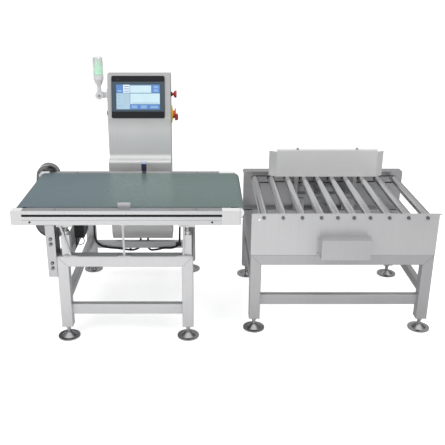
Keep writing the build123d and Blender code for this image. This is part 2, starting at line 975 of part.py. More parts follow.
# Brackets


def stay_straps():
    """Flat stays from the front beam to the rail, each with a T foot and a top pad."""
    straps = []
    y0, y1 = strap_front, strap_front + strap_thickness
    half, foot, pad = strap_width / 2, strap_foot / 2, strap_pad_width / 2
    thick = strap_thickness
    pad_y0, pad_y1 = bed_front, bed_front + strap_pad
    for low_x, high_x in strap_places:
        base = block(low_x - foot, low_x + foot, pad_y0, pad_y1, weigh_top, weigh_top + thick)
        outline = [
            (low_x - half, weigh_top + thick),
            (low_x + half, weigh_top + thick),
            (high_x + half, rail_bottom - thick),
            (high_x - half, rail_bottom - thick),
        ]
        top = block(high_x - pad, high_x + pad, pad_y0, pad_y1, rail_bottom - thick, rail_bottom)
        straps.append(base + prism_y(outline, y0, y1) + top)
    return joined(*straps)


def bracket_slots():
    """Centres of the slotted holes in the bracket's front flange."""
    x = -bracket_flange / 2
    half = bracket_slot_pitch / 2
    return [(x, z + side * half) for z in bracket_slot_heights for side in (-1, 1)]


def infeed_bracket():
    """Angle on the left front leg that ties the table to the conveyor before it."""
    thick = bracket_sheet
    face = block(-bracket_flange, 0, 0, thick, bracket_bottom, rail_bottom)
    web = block(-thick, 0, 0, bracket_web, bracket_bottom, rail_bottom)
    tab = block(-bracket_flange, 0, 0, bracket_tab, rail_bottom - thick, rail_bottom)
    solid = face + web + tab
    for x, z in bracket_slots():
        solid = solid - rod_y(x, z, -1, thick + 1, bolt_shank_radius + bore_gap)
    return solid


def front_bolt(x, z, face_y, grip, turn):
    """Hexagon bolt with a washer; its head stands off face_y against the turn direction."""
    under = face_y - turn * washer_thickness
    head = under - turn * bolt_head
    washer = rod_y(x, z, min(face_y, under), max(face_y, under), washer_radius)
    hexagon = hexagon_y(x, z, min(head, under), max(head, under), bolt_flats)
    tip = face_y + turn * grip
    shank = rod_y(x, z, min(face_y, tip), max(face_y, tip), bolt_shank_radius)
    return washer + hexagon + shank


def hex_bolts():
    """M8 bolts: both ends of every reject axle, and the infeed bracket with its nuts."""
    bolts = []
    for x in axles_x:
        grip = side_sheet + bolt_shank_length
        bolts.append(front_bolt(x, axle_height, reject_front, grip, 1))
        bolts.append(front_bolt(x, axle_height, reject_rear, grip, -1))
    for x, z in bracket_slots():
        grip = bracket_sheet + bolt_head + 6
        nut = hexagon_y(x, z, bracket_sheet, bracket_sheet + bolt_head, bolt_flats)
        bolts.append(front_bolt(x, z, 0, grip, 1) + nut)
    return joined(*bolts)


# Sensors


def sensor_brackets():
    """Two angles: the reflector's on the front rail, and the photo sensor's on the rear rail."""
    thick = sheet_bracket
    half = reflector_width / 2
    x0, x1 = reflector_centre - half, reflector_centre + half
    y1 = bed_front + rail_depth - 2
    foot = block(x0, x1, bed_front + 4, y1, rail_top, rail_top + thick)
    plate = block(x0, x1, y1 - thick, y1, rail_top, rail_top + reflector_height)
    half = sensor_width / 2 - 2
    x0, x1 = sensor_centre - half, sensor_centre + half
    y0 = bed_rear - rail_depth + 6
    y1 = y0 + sensor_depth + 2
    seat = block(x0, x1, y0, y1 + thick, rail_top, rail_top + thick)
    back_top = rail_top + thick + sensor_lift + sensor_height * 0.6
    back = block(x0, x1, y1, y1 + thick, rail_top, back_top)
    return joined(foot + plate, seat + back)


def photo_sensor():
    """Sensor housing with a round lens boss facing the reflector."""
    half = sensor_width / 2
    x0, x1 = sensor_centre - half, sensor_centre + half
    y0 = bed_rear - rail_depth + 8
    y1 = y0 + sensor_depth
    z0 = rail_top + sheet_bracket + sensor_lift
    body = rounded_block(x0, x1, y0, y1, z0, z0 + sensor_height, Axis.Z, sensor_corner)
    lens = rod_y(sensor_centre, z0 + sensor_height * 0.72, y0 - 1.5, y0, half * 0.6)
    return body + lens


# Junction boxes and held cables


def junction_boxes():
    """A sealed box with a lid groove, on a tongue from the left side beam's inner face."""
    x0, x1 = tube, tube + box_width
    y0, y1 = box_front, box_rear
    z0, z1 = box_base, box_base + box_height
    body = rounded_block(x0, x1, y0, y1, z0, z1, Axis.Z, 4)
    seam = block(x0 - 1, x1 + 1, y0 - 1, y1 + 1, z1 - box_lid - 1, z1 - box_lid)
    core = block(x0 + 1.5, x1 - 1.5, y0 + 1.5, y1 - 1.5, z1 - box_lid - 1, z1 - box_lid)
    tongue_y = (y0 + tongue_set, y1 - tongue_set)
    tongue = block(x0, x0 + tongue_sheet, *tongue_y, weigh_top - tongue_reach, z0)
    return joined(body - (seam - core) + tongue)


def gland_y(x, z, y0):
    """A cable gland that points back: hexagon, then the domed nut."""
    mid = y0 + gland_length / 2
    end = y0 + gland_length
    hexagon = hexagon_y(x, z, y0, mid, gland_flats)
    nut = rod_y(x, z, mid, end, gland_radius)
    return (hexagon + nut) - rod_y(x, z, y0, end, cable_radius)


def gland_z(x, y, top):
    """A cable gland under a housing, pointing down."""
    mid = top - gland_length / 2
    hexagon = hexagon_z(x, y, mid, top, gland_flats)
    nut = rod_z(x, y, top - gland_length, mid, gland_radius)
    return (hexagon + nut) - rod_z(x, y, top - gland_length, top, cable_radius)


def cable_glands():
    """Glands at the box, the rear right load cell and the cabinet, and the cabinet's side port."""
    cell_x, cell_y = post_centres_x[1], post_centres_y[1]
    cell_z = post_top + cell_height / 2
    outlet = rod_x(cell_y, cell_z, cell_x - cell_radius - cell_lead_length, cell_x, cable_radius + 1.5)
    outlet = outlet - rod_z(cell_x, cell_y, post_top, post_top + cell_height, cell_radius)
    port_x = cabinet_left - side_port_length
    port_y = controls_y - side_port_set
    port = rod_x(port_y, side_port_height, port_x, cabinet_left, side_port_radius)
    glands = [gland_z(x, cabinet_gland_y, cabinet_bottom) for x in cabinet_gland_places]
    return joined(gland_y(box_middle_x, box_gland_z, box_rear), outlet, port, *glands)


def round_corner_radii(points):
    """The largest tangent arc at each corner that its two runs leave room for."""
    radii = []
    for before, here, after in zip(points, points[1:], points[2:]):
        into, out = Vector(*here) - Vector(*before), Vector(*after) - Vector(*here)
        turn = math.radians(into.get_angle(out))
        radii.append(0.45 * min(into.length, out.length) / math.tan(turn / 2))
    return radii


def cable_along(points, radius):
    radii = round_corner_radii(points)
    print("cable bend radii", [round(r) for r in radii])
    path = FilletPolyline(*points, radius=radii)
    start = Plane(origin=path @ 0, z_dir=path % 0)
    return sweep(start * Circle(radius), path=path)


def left_cable_points():
    """From the junction box down the rear left leg and under the rear tie to the cabinet."""
    over = weigh_top + cable_radius + 1.0
    beside = tube + cable_radius + 1.0
    past_post = post_inset_left + post_side / 2 + cable_radius + 1.5
    leg_y = weigh_track - cable_radius - 0.5
    leg_x = tube - 3
    gland_x = cabinet_gland_places[0]
    start_y = box_rear + gland_length
    return [
        (box_middle_x, start_y, box_gland_z),
        (box_middle_x, start_y + 34, box_gland_z),
        (box_middle_x - 7, start_y + 86, over + 12),
        (beside, start_y + 136, over - 10),
        (beside + 1, start_y + 190, over - 13),
        (past_post - 1, mid_beam_centre - 32, over),
        (past_post, mid_beam_centre + 20, over + 1),
        ((past_post + beside) / 2, mid_beam_centre + 58, over - 9),
        (beside, mid_beam_centre + 104, over - 26),
        (beside, leg_y - 16, over - 62),
        ((beside + leg_x) / 2, leg_y, weigh_top - 100),
        (leg_x, leg_y - 1, weigh_top - 148),
        (leg_x - 1, leg_y, 215),
        (leg_x + 7, leg_y, 175),
        (leg_x + 34, leg_y, 151),
        (leg_x + 78, leg_y, 142),
        (leg_x + 131, leg_y, 138),
        (gland_x - 71, leg_y - 1, 131),
        (gland_x - 35, weigh_track + 4, 124),
        (gland_x - 9, weigh_track + 32, 124),
        (gland_x, weigh_track + 53, 140),
        (gland_x, cabinet_gland_y, 170),
        (gland_x, cabinet_gland_y, cabinet_bottom - 6),
    ]


def right_cable_points():
    """From the rear right load cell down in front of the rear tie and under it to the cabinet."""
    leg_y = weigh_track - cable_radius - 0.5
    cell_x, cell_y = post_centres_x[1], post_centres_y[1]
    cell_z = post_top + cell_height / 2
    start_x = cell_x - cell_radius - cell_lead_length
    gland_x = cabinet_gland_places[1]
    return [
        (start_x, cell_y, cell_z),
        (start_x - 17, cell_y, cell_z),
        (start_x - 27, cell_y + 20, cell_z - 19),
        (start_x - 28, cell_y + 45, cell_z - 56),
        (start_x - 29, cell_y + 74, cell_z - 106),
        (start_x - 28, cell_y + 102, cell_z - 163),
        (start_x - 29, cell_y + 127, cell_z - 224),
        (start_x - 31, leg_y - 8, cell_z - 283),
        (start_x - 32, leg_y - 1, cell_z - 335),
        (start_x - 45, leg_y - 1, cell_z - 366),
        (start_x - 80, leg_y, cell_z - 376),
        (start_x - 122, leg_y, cell_z - 374),
        (gland_x + 52, leg_y - 1, 131),
        (gland_x + 19, weigh_track + 4, 124),
        (gland_x + 3, weigh_track + 32, 124),
        (gland_x, weigh_track + 53, 140),
        (gland_x, cabinet_gland_y, 170),
        (gland_x, cabinet_gland_y, cabinet_bottom - 6),
    ]


def box_lead_loop():
    """A thin lead that leaves the box's underside and comes back to it in one open loop."""
    half_opening = math.radians(loop_opening / 2)
    x, y = tube + box_width - loop_set, box_front + loop_set / 2
    z = box_base - loop_radius * math.cos(half_opening) - loop_lead_radius
    profile = Pos(x, y, z + loop_radius) * Rot(0, 90, 0) * Circle(loop_lead_radius)
    start = Rot(0, loop_opening / 2, 0)
    profile = Pos(x, y, z) * start * Pos(-x, -y, -z) * profile
    loop = revolve(profile, axis=Axis((x, y, z), (0, 1, 0)), revolution_arc=360 - loop_opening)
    ends = []
    for side in (-1, 1):
        end_x = x + side * loop_radius * math.sin(half_opening)
        end_z = z + loop_radius * math.cos(half_opening)
        ends.append(rod_z(end_x, y, end_z - 0.5, box_base, loop_lead_radius))
    return loop + ends[0] + ends[1]


def held_cables():
    """The two leads tied along the frame and the box's small lead."""
    routes = (left_cable_points(), right_cable_points())
    return joined(*[cable_along(points, cable_radius) for points in routes], box_lead_loop())


# Control cabinet


def edges_along_x(solid, y, z):
    """The edges of a solid that run along X through the point (y, z)."""
    found = []
    for edge in solid.edges().filter_by(Axis.X):
        if abs(edge.center().Y - y) < 0.5 and abs(edge.center().Z - z) < 0.5:
            found.append(edge)
    return found


def cabinet_body(inset):
    """The closed cabinet form, or the space inside its sheet when inset by it."""
    lean = math.tan(math.radians(head_lean))
    bend_shift = inset * math.tan(math.radians(head_lean / 2))
    front = cabinet_front + inset
    neck = neck_front + inset
    bend = cabinet_bend - bend_shift
    rear = cabinet_rear - inset
    bottom = cabinet_bottom + inset
    ledge = cabinet_ledge - inset
    top = cabinet_top - inset
    outline = [
        (front, bottom),
        (front, ledge),
        (neck, ledge),
        (neck, bend),
        (neck + (top - bend) * lean, top),
        (rear, top),
        (rear, bottom),
    ]
    solid = prism_x(outline, cabinet_left + inset, cabinet_right - inset)
    solid = fillet(edges_along_x(solid, front, bottom), cabinet_foot_radius - inset)
    solid = fillet(edges_along_x(solid, front, ledge), cabinet_ledge_radius - inset)
    return fillet(edges_along_x(solid, neck, ledge), cabinet_cove_radius + inset)


def on_head(solid):
    """Places a solid drawn with y = 0 on the leaning head's face and z = 0 at its lower bend."""
    return Pos(0, neck_front, cabinet_bend) * Rot(-head_lean, 0, 0) * solid


def door_opening():
    """Clear opening in the cabinet's rear wall as (left, right, bottom, top)."""
    margin = door_opening_margin
    return (cabinet_left + margin, cabinet_right - margin, door_bottom + margin, door_top - margin)


def panel_box(grow):
    """The panel's rear housing on the head's face, or its cut-out when grown."""
    half_width = panel_width / 2 - panel_back_margin + grow
    margin = panel_back_margin - grow
    return (
        panel_centre_x - half_width,
        panel_centre_x + half_width,
        panel_low + margin,
        panel_high - margin,
    )


def cabinet_shell():
    """Welded sheet housing: two side sheets, the folded front wrap and the rear door frame."""
    sheet = cabinet_sheet
    body = cabinet_body(0)
    inner_left, inner_right = cabinet_left + sheet, cabinet_right - sheet
    reach = (cabinet_front - 1, cabinet_rear + 1, cabinet_bottom - 1, cabinet_top + 1)
    left_side = body & block(cabinet_left, inner_left, *reach)
    right_side = body & block(inner_right, cabinet_right, *reach)
    hole = (inner_right - 1, cabinet_right + 1)
    right_side = right_side - rod_x(controls_y, stop_height, *hole, button_stem_radius + 1)
    between = (inner_left, inner_right, cabinet_front - 1, cabinet_rear - sheet)
    wrap = (body - cabinet_body(sheet)) & block(*between, cabinet_bottom - 1, cabinet_top + 1)
    x0, x1, z0, z1 = panel_box(panel_hole_gap)
    wrap = wrap - on_head(block(x0, x1, -1, sheet + 1, z0, z1))
    for x in cabinet_gland_places:
        floor = (cabinet_bottom - 1, cabinet_bottom + sheet + 1)
        wrap = wrap - rod_z(x, cabinet_gland_y, *floor, cable_radius + cabinet_gland_hole)
    rear_y = (cabinet_rear - sheet, cabinet_rear)
    frame = block(inner_left, inner_right, *rear_y, cabinet_bottom, cabinet_top)
    x0, x1, z0, z1 = door_opening()
    frame = frame - block(x0, x1, rear_y[0] - 1, rear_y[1] + 1, z0, z1)
    return joined(left_side, right_side, wrap, frame)


hinge_x = cabinet_left - leaf_sheet - hinge_radius + 1.0
hinge_y = cabinet_rear + door_seal_gap + door_depth / 2


def door_hinges():
    """Fixed leaves on the cabinet's left side, each with its pin and two knuckles."""
    hinges = []
    for z in hinge_heights:
        z0, z1 = z - hinge_length / 2, z + hinge_length / 2
        third = hinge_length / 3
        leaf_y = hinge_y - leaf_width
        leaf = block(cabinet_left - leaf_sheet, cabinet_left, leaf_y - 6, cabinet_rear - 1, z0, z1)
        neck = block(cabinet_left - leaf_sheet - 2, cabinet_left, cabinet_rear - 2, hinge_y - 2, z0, z1)
        bottom = rod_z(hinge_x, hinge_y, z0, z0 + third, hinge_radius)
        top = rod_z(hinge_x, hinge_y, z1 - third, z1, hinge_radius)
        pin = rod_z(hinge_x, hinge_y, z0, z1, hinge_pin_radius)
        gap = block(hinge_x - 12, cabinet_left, cabinet_rear, hinge_y + 12, z0 + third, z1 - third)
        hinges.append((leaf + (neck - gap) + bottom + top) + pin)
    return joined(*hinges)


def cabinet_door():
    """Folded rear door with returned edges and the moving hinge knuckles."""
    x0, x1 = cabinet_left + door_margin, cabinet_right - door_margin
    y0 = cabinet_rear + door_seal_gap
    y1 = y0 + door_depth
    outer = block(x0, x1, y0, y1, door_bottom, door_top)
    outer = fillet(outer.edges().filter_by(Axis.Y), door_corner)
    wall = door_sheet
    inner = block(x0 + wall, x1 - wall, y0 - 1, y1 - wall, door_bottom + wall, door_top - wall)
    door = outer - inner
    clear = running_gap
    for z in hinge_heights:
        third = hinge_length / 6 - clear
        z0, z1 = z - third, z + third
        knuckle = rod_z(hinge_x, hinge_y, z0, z1, hinge_radius)
        leaf = block(hinge_x, x0 + 1, hinge_y + 1, hinge_y + hinge_radius, z0, z1)
        bore = rod_z(hinge_x, hinge_y, z0 - 1, z1 + 1, hinge_pin_radius + bore_gap)
        door = door + ((knuckle + leaf) - bore)
    lock = rod_y(lock_x, lock_height, y1 - wall - 1, y1 + 1, lock_radius - 3 + bore_gap)
    return joined(door - lock)


def door_lock():
    """Quarter-turn lock: slotted head, barrel through the door and cam, shown unlocked."""
    outer = cabinet_rear + door_seal_gap + door_depth
    cam_rear = cabinet_rear - cabinet_sheet - 0.6
    cam_front = cam_rear - cam_sheet
    head = rod_y(lock_x, lock_height, outer + 0.2, outer + lock_head, lock_radius)
    slot_y = (outer + lock_head - 2, outer + lock_head + 1)
    slot = block(lock_x - 7, lock_x + 7, *slot_y, lock_height - 1, lock_height + 1)
    barrel = rod_y(lock_x, lock_height, cam_front, outer + 0.2, lock_radius - 3)
    half = cam_width / 2
    cam_z = (lock_height - half, lock_height + cam_length)
    cam = block(lock_x - half, lock_x + half, cam_front, cam_rear, *cam_z)
    return joined((head - slot) + barrel + cam)


# Operator panel


def screen_window():
    """The screen's edges on the head's face as (left, right, low, high)."""
    half_width, half_height = screen_width / 2, screen_height / 2
    middle = (panel_low + panel_high) / 2
    return (
        panel_centre_x - half_width,
        panel_centre_x + half_width,
        middle - half_height,
        middle + half_height,
    )


def panel_frame():
    """Panel bezel with the screen window and the housing behind it, on the leaning head."""
    half = panel_width / 2
    x0, x1 = panel_centre_x - half, panel_centre_x + half
    face = rounded_block(x0, x1, -panel_thickness, 0, panel_low, panel_high, Axis.Y, panel_corner)
    bx0, bx1, bz0, bz1 = panel_box(0)
    back = block(bx0, bx1, 0, panel_back_depth, bz0, bz1)
    wx0, wx1, wz0, wz1 = screen_window()
    floor = -panel_thickness + screen_recess + screen_thickness
    window = block(wx0, wx1, -panel_thickness - 1, floor, wz0, wz1)
    return on_head((face + back) - window)


def panel_screen():
    x0, x1, z0, z1 = screen_window()
    y0 = -panel_thickness + screen_recess
    return on_head(block(x0, x1, y0, y0 + screen_thickness, z0, z1))


# Stop button and isolator


def stop_collar():
    """Threaded collar of the stop button on the cabinet's right side."""
    x0 = cabinet_right
    flange = rod_x(controls_y, stop_height, x0, x0 + 4, collar_radius + collar_flange)
    ring = rod_x(controls_y, stop_height, x0 + 4, x0 + collar_length, collar_radius)
    bore = rod_x(controls_y, stop_height, x0 - 1, x0 + collar_length + 1, button_stem_radius + bore_gap)
    return (flange + ring) - bore


def stop_button():
    """Mushroom head on its stem, with a flared edge."""
    seat = cabinet_right + collar_length + button_gap
    end = seat + button_length
    outline = Polyline(
        [
            (cabinet_right - cabinet_sheet, controls_y, stop_height),
            (cabinet_right - cabinet_sheet, controls_y + button_stem_radius, stop_height),
            (seat, controls_y + button_stem_radius, stop_height),
            (seat, controls_y + button_radius * 0.62, stop_height),
            (end - 6, controls_y + button_radius, stop_height),
            (end - 2, controls_y + button_radius, stop_height),
            (end, controls_y + button_radius - 3, stop_height),
            (end, controls_y, stop_height),
        ],
        close=True,
    )
    return revolve(make_face(outline), axis=Axis((0, controls_y, stop_height), (1, 0, 0)))


def isolator_base():
    """Square isolator plate with a round boss."""
    x0 = cabinet_right
    x1 = x0 + isolator_plate_thickness
    half_y, half_z = isolator_plate_depth / 2, isolator_plate_height / 2
    y, z = controls_y, isolator_height
    plate = rounded_block(x0, x1, y - half_y, y + half_y, z - half_z, z + half_z, Axis.X, 6)
    boss = rod_x(y, z, x1, x1 + isolator_boss_length, isolator_boss_radius)
    return plate + boss


def isolator_handle():
    """Rotary handle: round hub and a wedge-shaped grip, thin above and full below."""
    y, z = controls_y, isolator_height
    x0 = cabinet_right + isolator_plate_thickness + isolator_boss_length + running_gap
    hub = rod_x(y, z, x0, x0 + handle_hub_length, handle_hub_radius)
    x1 = x0 + handle_hub_length
    end = x1 + handle_grip_depth
    half_width, half_length = handle_grip_width / 2, handle_grip_length / 2
    outline = [
        (x1, z + half_length),
        (x1 + handle_grip_nose, z + half_length),
        (x1 + handle_grip_nose, z + handle_grip_nose),
        (end, z),
        (end, z - half_length + handle_grip_nose),
        (end - handle_grip_nose, z - half_length),
        (x1, z - half_length),
    ]
    return hub + prism_y(outline, y - half_width, y + half_width)


# Signal lamp


ear_middle_y = controls_y


def lamp_bracket():
    """Wall plate with the rear ear and the pivot pin."""
    z, y = lamp_pivot_height, ear_middle_y
    half_z, half_y = lamp_plate_height / 2, lamp_plate_depth / 2
    x1 = cabinet_left
    x0 = x1 - lamp_plate_thickness
    plate = block(x0, x1, y - half_y, y + half_y, z - half_z, z + half_z)
    y0 = y + ear_gap / 2
    y1 = y0 + ear_thickness
    ear = rod_y(lamp_x, z, y0, y1, pivot_radius)
    arm = block(lamp_x, x0, y0, y1, z - pivot_radius * 0.7, z + pivot_radius * 0.7)
    front = y - ear_gap / 2 - ear_thickness
    pin = rod_y(lamp_x, z, front - 2.5, y0, pivot_pin_radius)
    head = rod_y(lamp_x, z, front - 4, front - running_gap, pivot_pin_radius + 3)
    return plate + ear + arm + pin + head


def lamp_arm():
    """Front ear, stem and flared base of the lamp, turning on the pivot pin."""
    z, y = lamp_pivot_height, ear_middle_y
    y1 = y - ear_gap / 2
    y0 = y1 - ear_thickness
    ear = rod_y(lamp_x, z, y0, y1, pivot_radius)
    stem_y = (y0 + y1) / 2
    stem = rod_z(lamp_x, stem_y, z + pivot_radius + 1, stem_top, stem_radius)
    blade = block(lamp_x - stem_radius, lamp_x + stem_radius, y0, y1, z, z + pivot_radius + 2)
    cup = turned_z(
        lamp_x,
        stem_y,
        [
            (0, stem_top),
            (lamp_foot_radius, stem_top),
            (lamp_radius, stem_top + lamp_flare),
            (lamp_radius, lamp_base_top),
            (lamp_radius - lens_wall, lamp_base_top),
            (lamp_radius - lens_wall, lamp_base_top + lens_skirt),
            (0, lamp_base_top + lens_skirt),
        ],
    )
    solid = ear + blade + stem + cup
    front = block(lamp_x - 40, lamp_x + 40, y0 - 40, y0, z - 30, z + pivot_radius - 1)
    bore = rod_y(lamp_x, z, y0 - 1, y1 + 1, pivot_pin_radius + bore_gap)
    return (solid - front) - bore


def lamp_lens():
    """Hollow lens cup with a softly rounded top."""
    y = ear_middle_y - ear_gap / 2 - ear_thickness / 2
    top = lamp_base_top + lens_height
    outer = rod_z(lamp_x, y, lamp_base_top, top, lamp_radius)
    rim = [e for e in outer.edges() if abs(e.center().Z - top) < 0.5]
    outer = fillet(rim, 4)
    return outer - rod_z(lamp_x, y, lamp_base_top - 1, top - lens_wall, lamp_radius - lens_wall)


# Reject section: side plates


def front_side_plate():
    """Front side plate: foot fold on the beam, narrow hem inward, axle holes, cylinder window."""
    y0, y1 = reject_front, reject_front + side_sheet
    x0, x1 = reject_left, reject_right
    web = block(x0, x1, y0, y1, reject_top, side_top)
    foot = block(x0, x1, y0, y0 + foot_fold, reject_top, reject_top + side_sheet)
    hem_end = x1 + front_hem_overhang
    hem = block(x0, hem_end, y0, y0 + front_hem, side_top - side_sheet, side_top)
    solid = web + foot + hem
    for x in axles_x:
        solid = solid - rod_y(x, axle_height, y0 - 1, y1 + 1, bolt_shank_radius + bore_gap)
    hole_x = axles_x[0] - side_hole_set
    solid = solid - rod_y(hole_x, axle_height - side_hole_drop, y0 - 1, y1 + 1, side_hole_radius)
    half = barrel_width / 2 + cylinder_window_gap
    low = reject_top + side_sheet
    high = barrel_top + cylinder_window_gap
    window = block(pusher_centre_x - half, pusher_centre_x + half, y0 - 1, y1 + 1, low, high)
    return solid - window


def rear_side_plate():
    """Rear side plate: foot fold on the beam and a deep boxed hem outward along the top."""
    y0, y1 = reject_rear - side_sheet, reject_rear
    x0, x1 = reject_left, reject_right + rear_plate_overhang
    top = side_top + rear_plate_rise
    hem_rear = y1 + rear_hem
    web = block(x0, x1, y0, y1, reject_top, top)
    foot = block(x0, reject_right, y1 - foot_fold, y1, reject_top, reject_top + side_sheet)
    hem = block(x0, x1, y0, hem_rear, top - side_sheet, top)
    lip = block(x0, x1, hem_rear - side_sheet, hem_rear, top - rear_lip, top)
    end = block(x1 - side_sheet, x1, y0, hem_rear, top - rear_lip, top)
    solid = web + foot + hem + lip + end
    for x in axles_x:
        solid = solid - rod_y(x, axle_height, y0 - 1, y1 + 1, bolt_shank_radius + bore_gap)
    return solid


# Reject section: rollers


def bed_roller(x):
    """A tube roller with bearing ends and a grooved drive hub at its rear end."""
    bore = axle_radius + bore_gap
    outline = [
        (roller_front, bore),
        (roller_front, roller_radius),
        (roller_rear, roller_radius),
        (roller_rear, hub_radius),
        (hub_rear, hub_radius),
        (hub_rear, bore),
    ]
    solid = turned_y(x, axle_height, outline)
    inner = roller_radius - roller_wall
    hollow_end = roller_rear - roller_cap
    hollow = [
        (roller_front + roller_cap, bore + 3),
        (roller_front + roller_cap, inner),
        (hollow_end, inner),
        (hollow_end, bore + 3),
    ]
    return solid - turned_y(x, axle_height, hollow)


def roller_axles():
    """Fixed axles between the side plates, tapped at both ends for the axle bolts."""
    axles = []
    y0, y1 = reject_front + side_sheet, reject_rear - side_sheet
    for x in axles_x:
        axle = rod_y(x, axle_height, y0, y1, axle_radius)
        hole = bolt_shank_radius + bore_gap
        axle = axle - rod_y(x, axle_height, y0, y0 + bolt_shank_length, hole)
        axles.append(axle - rod_y(x, axle_height, y1 - bolt_shank_length, y1, hole))
    return joined(*axles)


def roller_belts():
    """Ribbed belts that link each roller's hub to the next, on two tracks in turn."""
    belts = []
    inner = hub_radius + running_gap
    outer = inner + drive_belt_thickness
    for index in range(len(axles_x) - 1):
        y0 = roller_rear + drive_belt_edge + (index % 2) * drive_belt_pitch
        y1 = y0 + drive_belt_width
        ends = ((axles_x[index], axle_height), (axles_x[index + 1], axle_height))
        band = loop_solid(*ends, outer, outer, y0, y1)
        belts.append(band - loop_solid(*ends, inner, inner, y0 - 1, y1 + 1))
    return joined(*belts)


# Reject section: pusher


def pusher_plate():
    """Bent pusher sheet: flat face, swept wings at both sides and a hem along the top."""
    half = pusher_width / 2
    x0, x1 = pusher_centre_x - half, pusher_centre_x + half
    y0 = pusher_front_y
    y1 = y0 + pusher_sheet
    face = block(x0, x1, y0, y1, pusher_bottom, pusher_top)
    hem = block(x0, x1, y0, y0 + pusher_hem, pusher_top - pusher_sheet, pusher_top)
    nose = edges_along_x(face + hem, y0, pusher_top)
    body = fillet(nose, min(pusher_bend, pusher_hem * 0.4) * 0.35)
    wing_top = pusher_top - wing_drop
    for edge, turn in ((x0, -1), (x1, 1)):
        tip = edge + turn * wing_width
        outline = [
            (edge, y0),
            (tip, y0 + wing_sweep),
            (tip, y0 + wing_sweep + pusher_sheet),
            (edge, y1 + 1),
        ]
        body = body + prism_z(outline, pusher_bottom, wing_top)
    for x in (post_left_x, post_right_x):
        y = y1 + post_bar_depth / 2
        body = body - rod_z(x, y, pusher_top - pusher_sheet - 1, pusher_top + 1, post_cap_pin / 2 + bore_gap)
    return body


def pusher_posts():
    """Flat posts behind the pusher sheet, footed on the crosshead, with capped top screws."""
    posts = []
    y0 = pusher_front_y + pusher_sheet
    y1 = y0 + post_bar_depth
    half = post_bar_width / 2
    top = pusher_top - pusher_sheet
    for x in (post_left_x, post_right_x):
        bar = block(x - half, x + half, y0, y1, crosshead_top, top)
        foot_top = crosshead_top + post_foot_height
        foot = block(x - half, x + half, y0, y0 + post_foot_depth, crosshead_top, foot_top)
        y = (y0 + y1) / 2
        pin = rod_z(x, y, top, pusher_top, post_cap_pin / 2)
        cap = rod_z(x, y, pusher_top, pusher_top + post_cap_height, post_cap_radius * 0.7)
        posts.append(bar + foot + pin + cap)
    return joined(*posts)


def pusher_carriage():
    """Crosshead bar on the cylinder's slider and on two guide bearings."""
    y0 = carriage_front
    y1 = y0 + crosshead_depth
    x0, x1 = post_left_x - crosshead_margin, post_right_x + crosshead_margin
    bar = block(x0, x1, y0, y1, carriage_base, crosshead_top)
    pieces = [bar]
    middle = (y0 + y1) / 2
    for x in rods_x:
        half, reach = bearing_width / 2, bearing_length / 2
        low = rod_height - bearing_below
        bearing = block(x - half, x + half, middle - reach, middle + reach, low, carriage_base)
        bore = rod_y(x, rod_height, middle - reach - 1, middle + reach + 1, rod_radius + bore_gap)
        pieces.append(bearing - bore)
    half, reach = slider_width / 2, slider_length / 2
    x = pusher_centre_x
    low = barrel_top + running_gap
    pieces.append(block(x - half, x + half, middle - reach, middle + reach, low, carriage_base))
    return joined(*pieces)


barrel_y0 = reject_front - barrel_front
barrel_y1 = reject_rear - barrel_rear_gap


def cylinder_barrel():
    """Rodless cylinder: slotted rectangular barrel between two end caps."""
    half = barrel_width / 2
    x0, x1 = pusher_centre_x - half, pusher_centre_x + half
    shape = (x0, x1, barrel_y0, barrel_y1, barrel_bottom, barrel_top)
    barrel = rounded_block(*shape, Axis.Y, barrel_corner)
    groove = (barrel_y0 - 1, barrel_y1 + 1)
    barrel = barrel - block(pusher_centre_x - 3, pusher_centre_x + 3, *groove, barrel_top - 4, barrel_top + 1)
    for side in (x0, x1):
        cut = (side - 4, side + 4) + groove
        barrel = barrel - block(*cut, rod_height - 4, rod_height + 4)
    bore = rod_y(pusher_centre_x, rod_height - 3, barrel_y0, barrel_y1, 16)
    caps = []
    for y0, y1 in (
        (barrel_y0 - end_cap_length, barrel_y0),
        (barrel_y1, barrel_y1 + end_cap_length),
    ):
        cap = (x0 - 2, x1 + 2, y0, y1, barrel_bottom - 2, barrel_top - 1)
        caps.append(rounded_block(*cap, Axis.Y, barrel_corner))
    return joined(barrel - bore, *caps)


def guide_rods():
    y0, y1 = reject_front + side_sheet, reject_rear - side_sheet
    return joined(*[rod_y(x, rod_height, y0, y1, rod_radius) for x in rods_x])


def guide_supports():
    """Rod blocks and cylinder feet that stand on the side plates' foot folds."""
    pieces = []
    base = reject_top + side_sheet
    y_front = reject_front + side_sheet
    y_rear = reject_rear - side_sheet - support_length
    half = support_width / 2
    for x in rods_x:
        for y0 in (y_front, y_rear):
            y1 = y0 + support_length
            top = rod_height + support_above_rod
            piece = block(x - half, x + half, y0, y1, base, top)
            pieces.append(piece - rod_y(x, rod_height, y0, y1, rod_radius))
    half = cylinder_foot_width / 2
    for y0 in (y_front, barrel_y1 - support_length):
        x0, x1 = pusher_centre_x - half, pusher_centre_x + half
        pieces.append(block(x0, x1, y0, y0 + support_length, base, barrel_bottom))
    return joined(*pieces)


def front_cover():
    """Open-backed sheet box over the cylinder's front end, with two screwed side flanges."""
    half = cover_width / 2
    x0, x1 = pusher_centre_x - half, pusher_centre_x + half
    y0, y1 = reject_front - cover_depth, reject_front
    z0, z1 = reject_top, reject_top + cover_height
    wall = cover_sheet
    box = block(x0, x1, y0, y1, z0, z1)
    box = box - block(x0 + wall, x1 - wall, y0 + wall, y1 + 1, z0 + wall, z1 - wall)
    for x in (x0 - cover_flange, x1):
        box = box + block(x, x + cover_flange, y1 - wall, y1, z0, z1)
    return box


# Writing: every sub-part moves to the middle of the machine's footprint

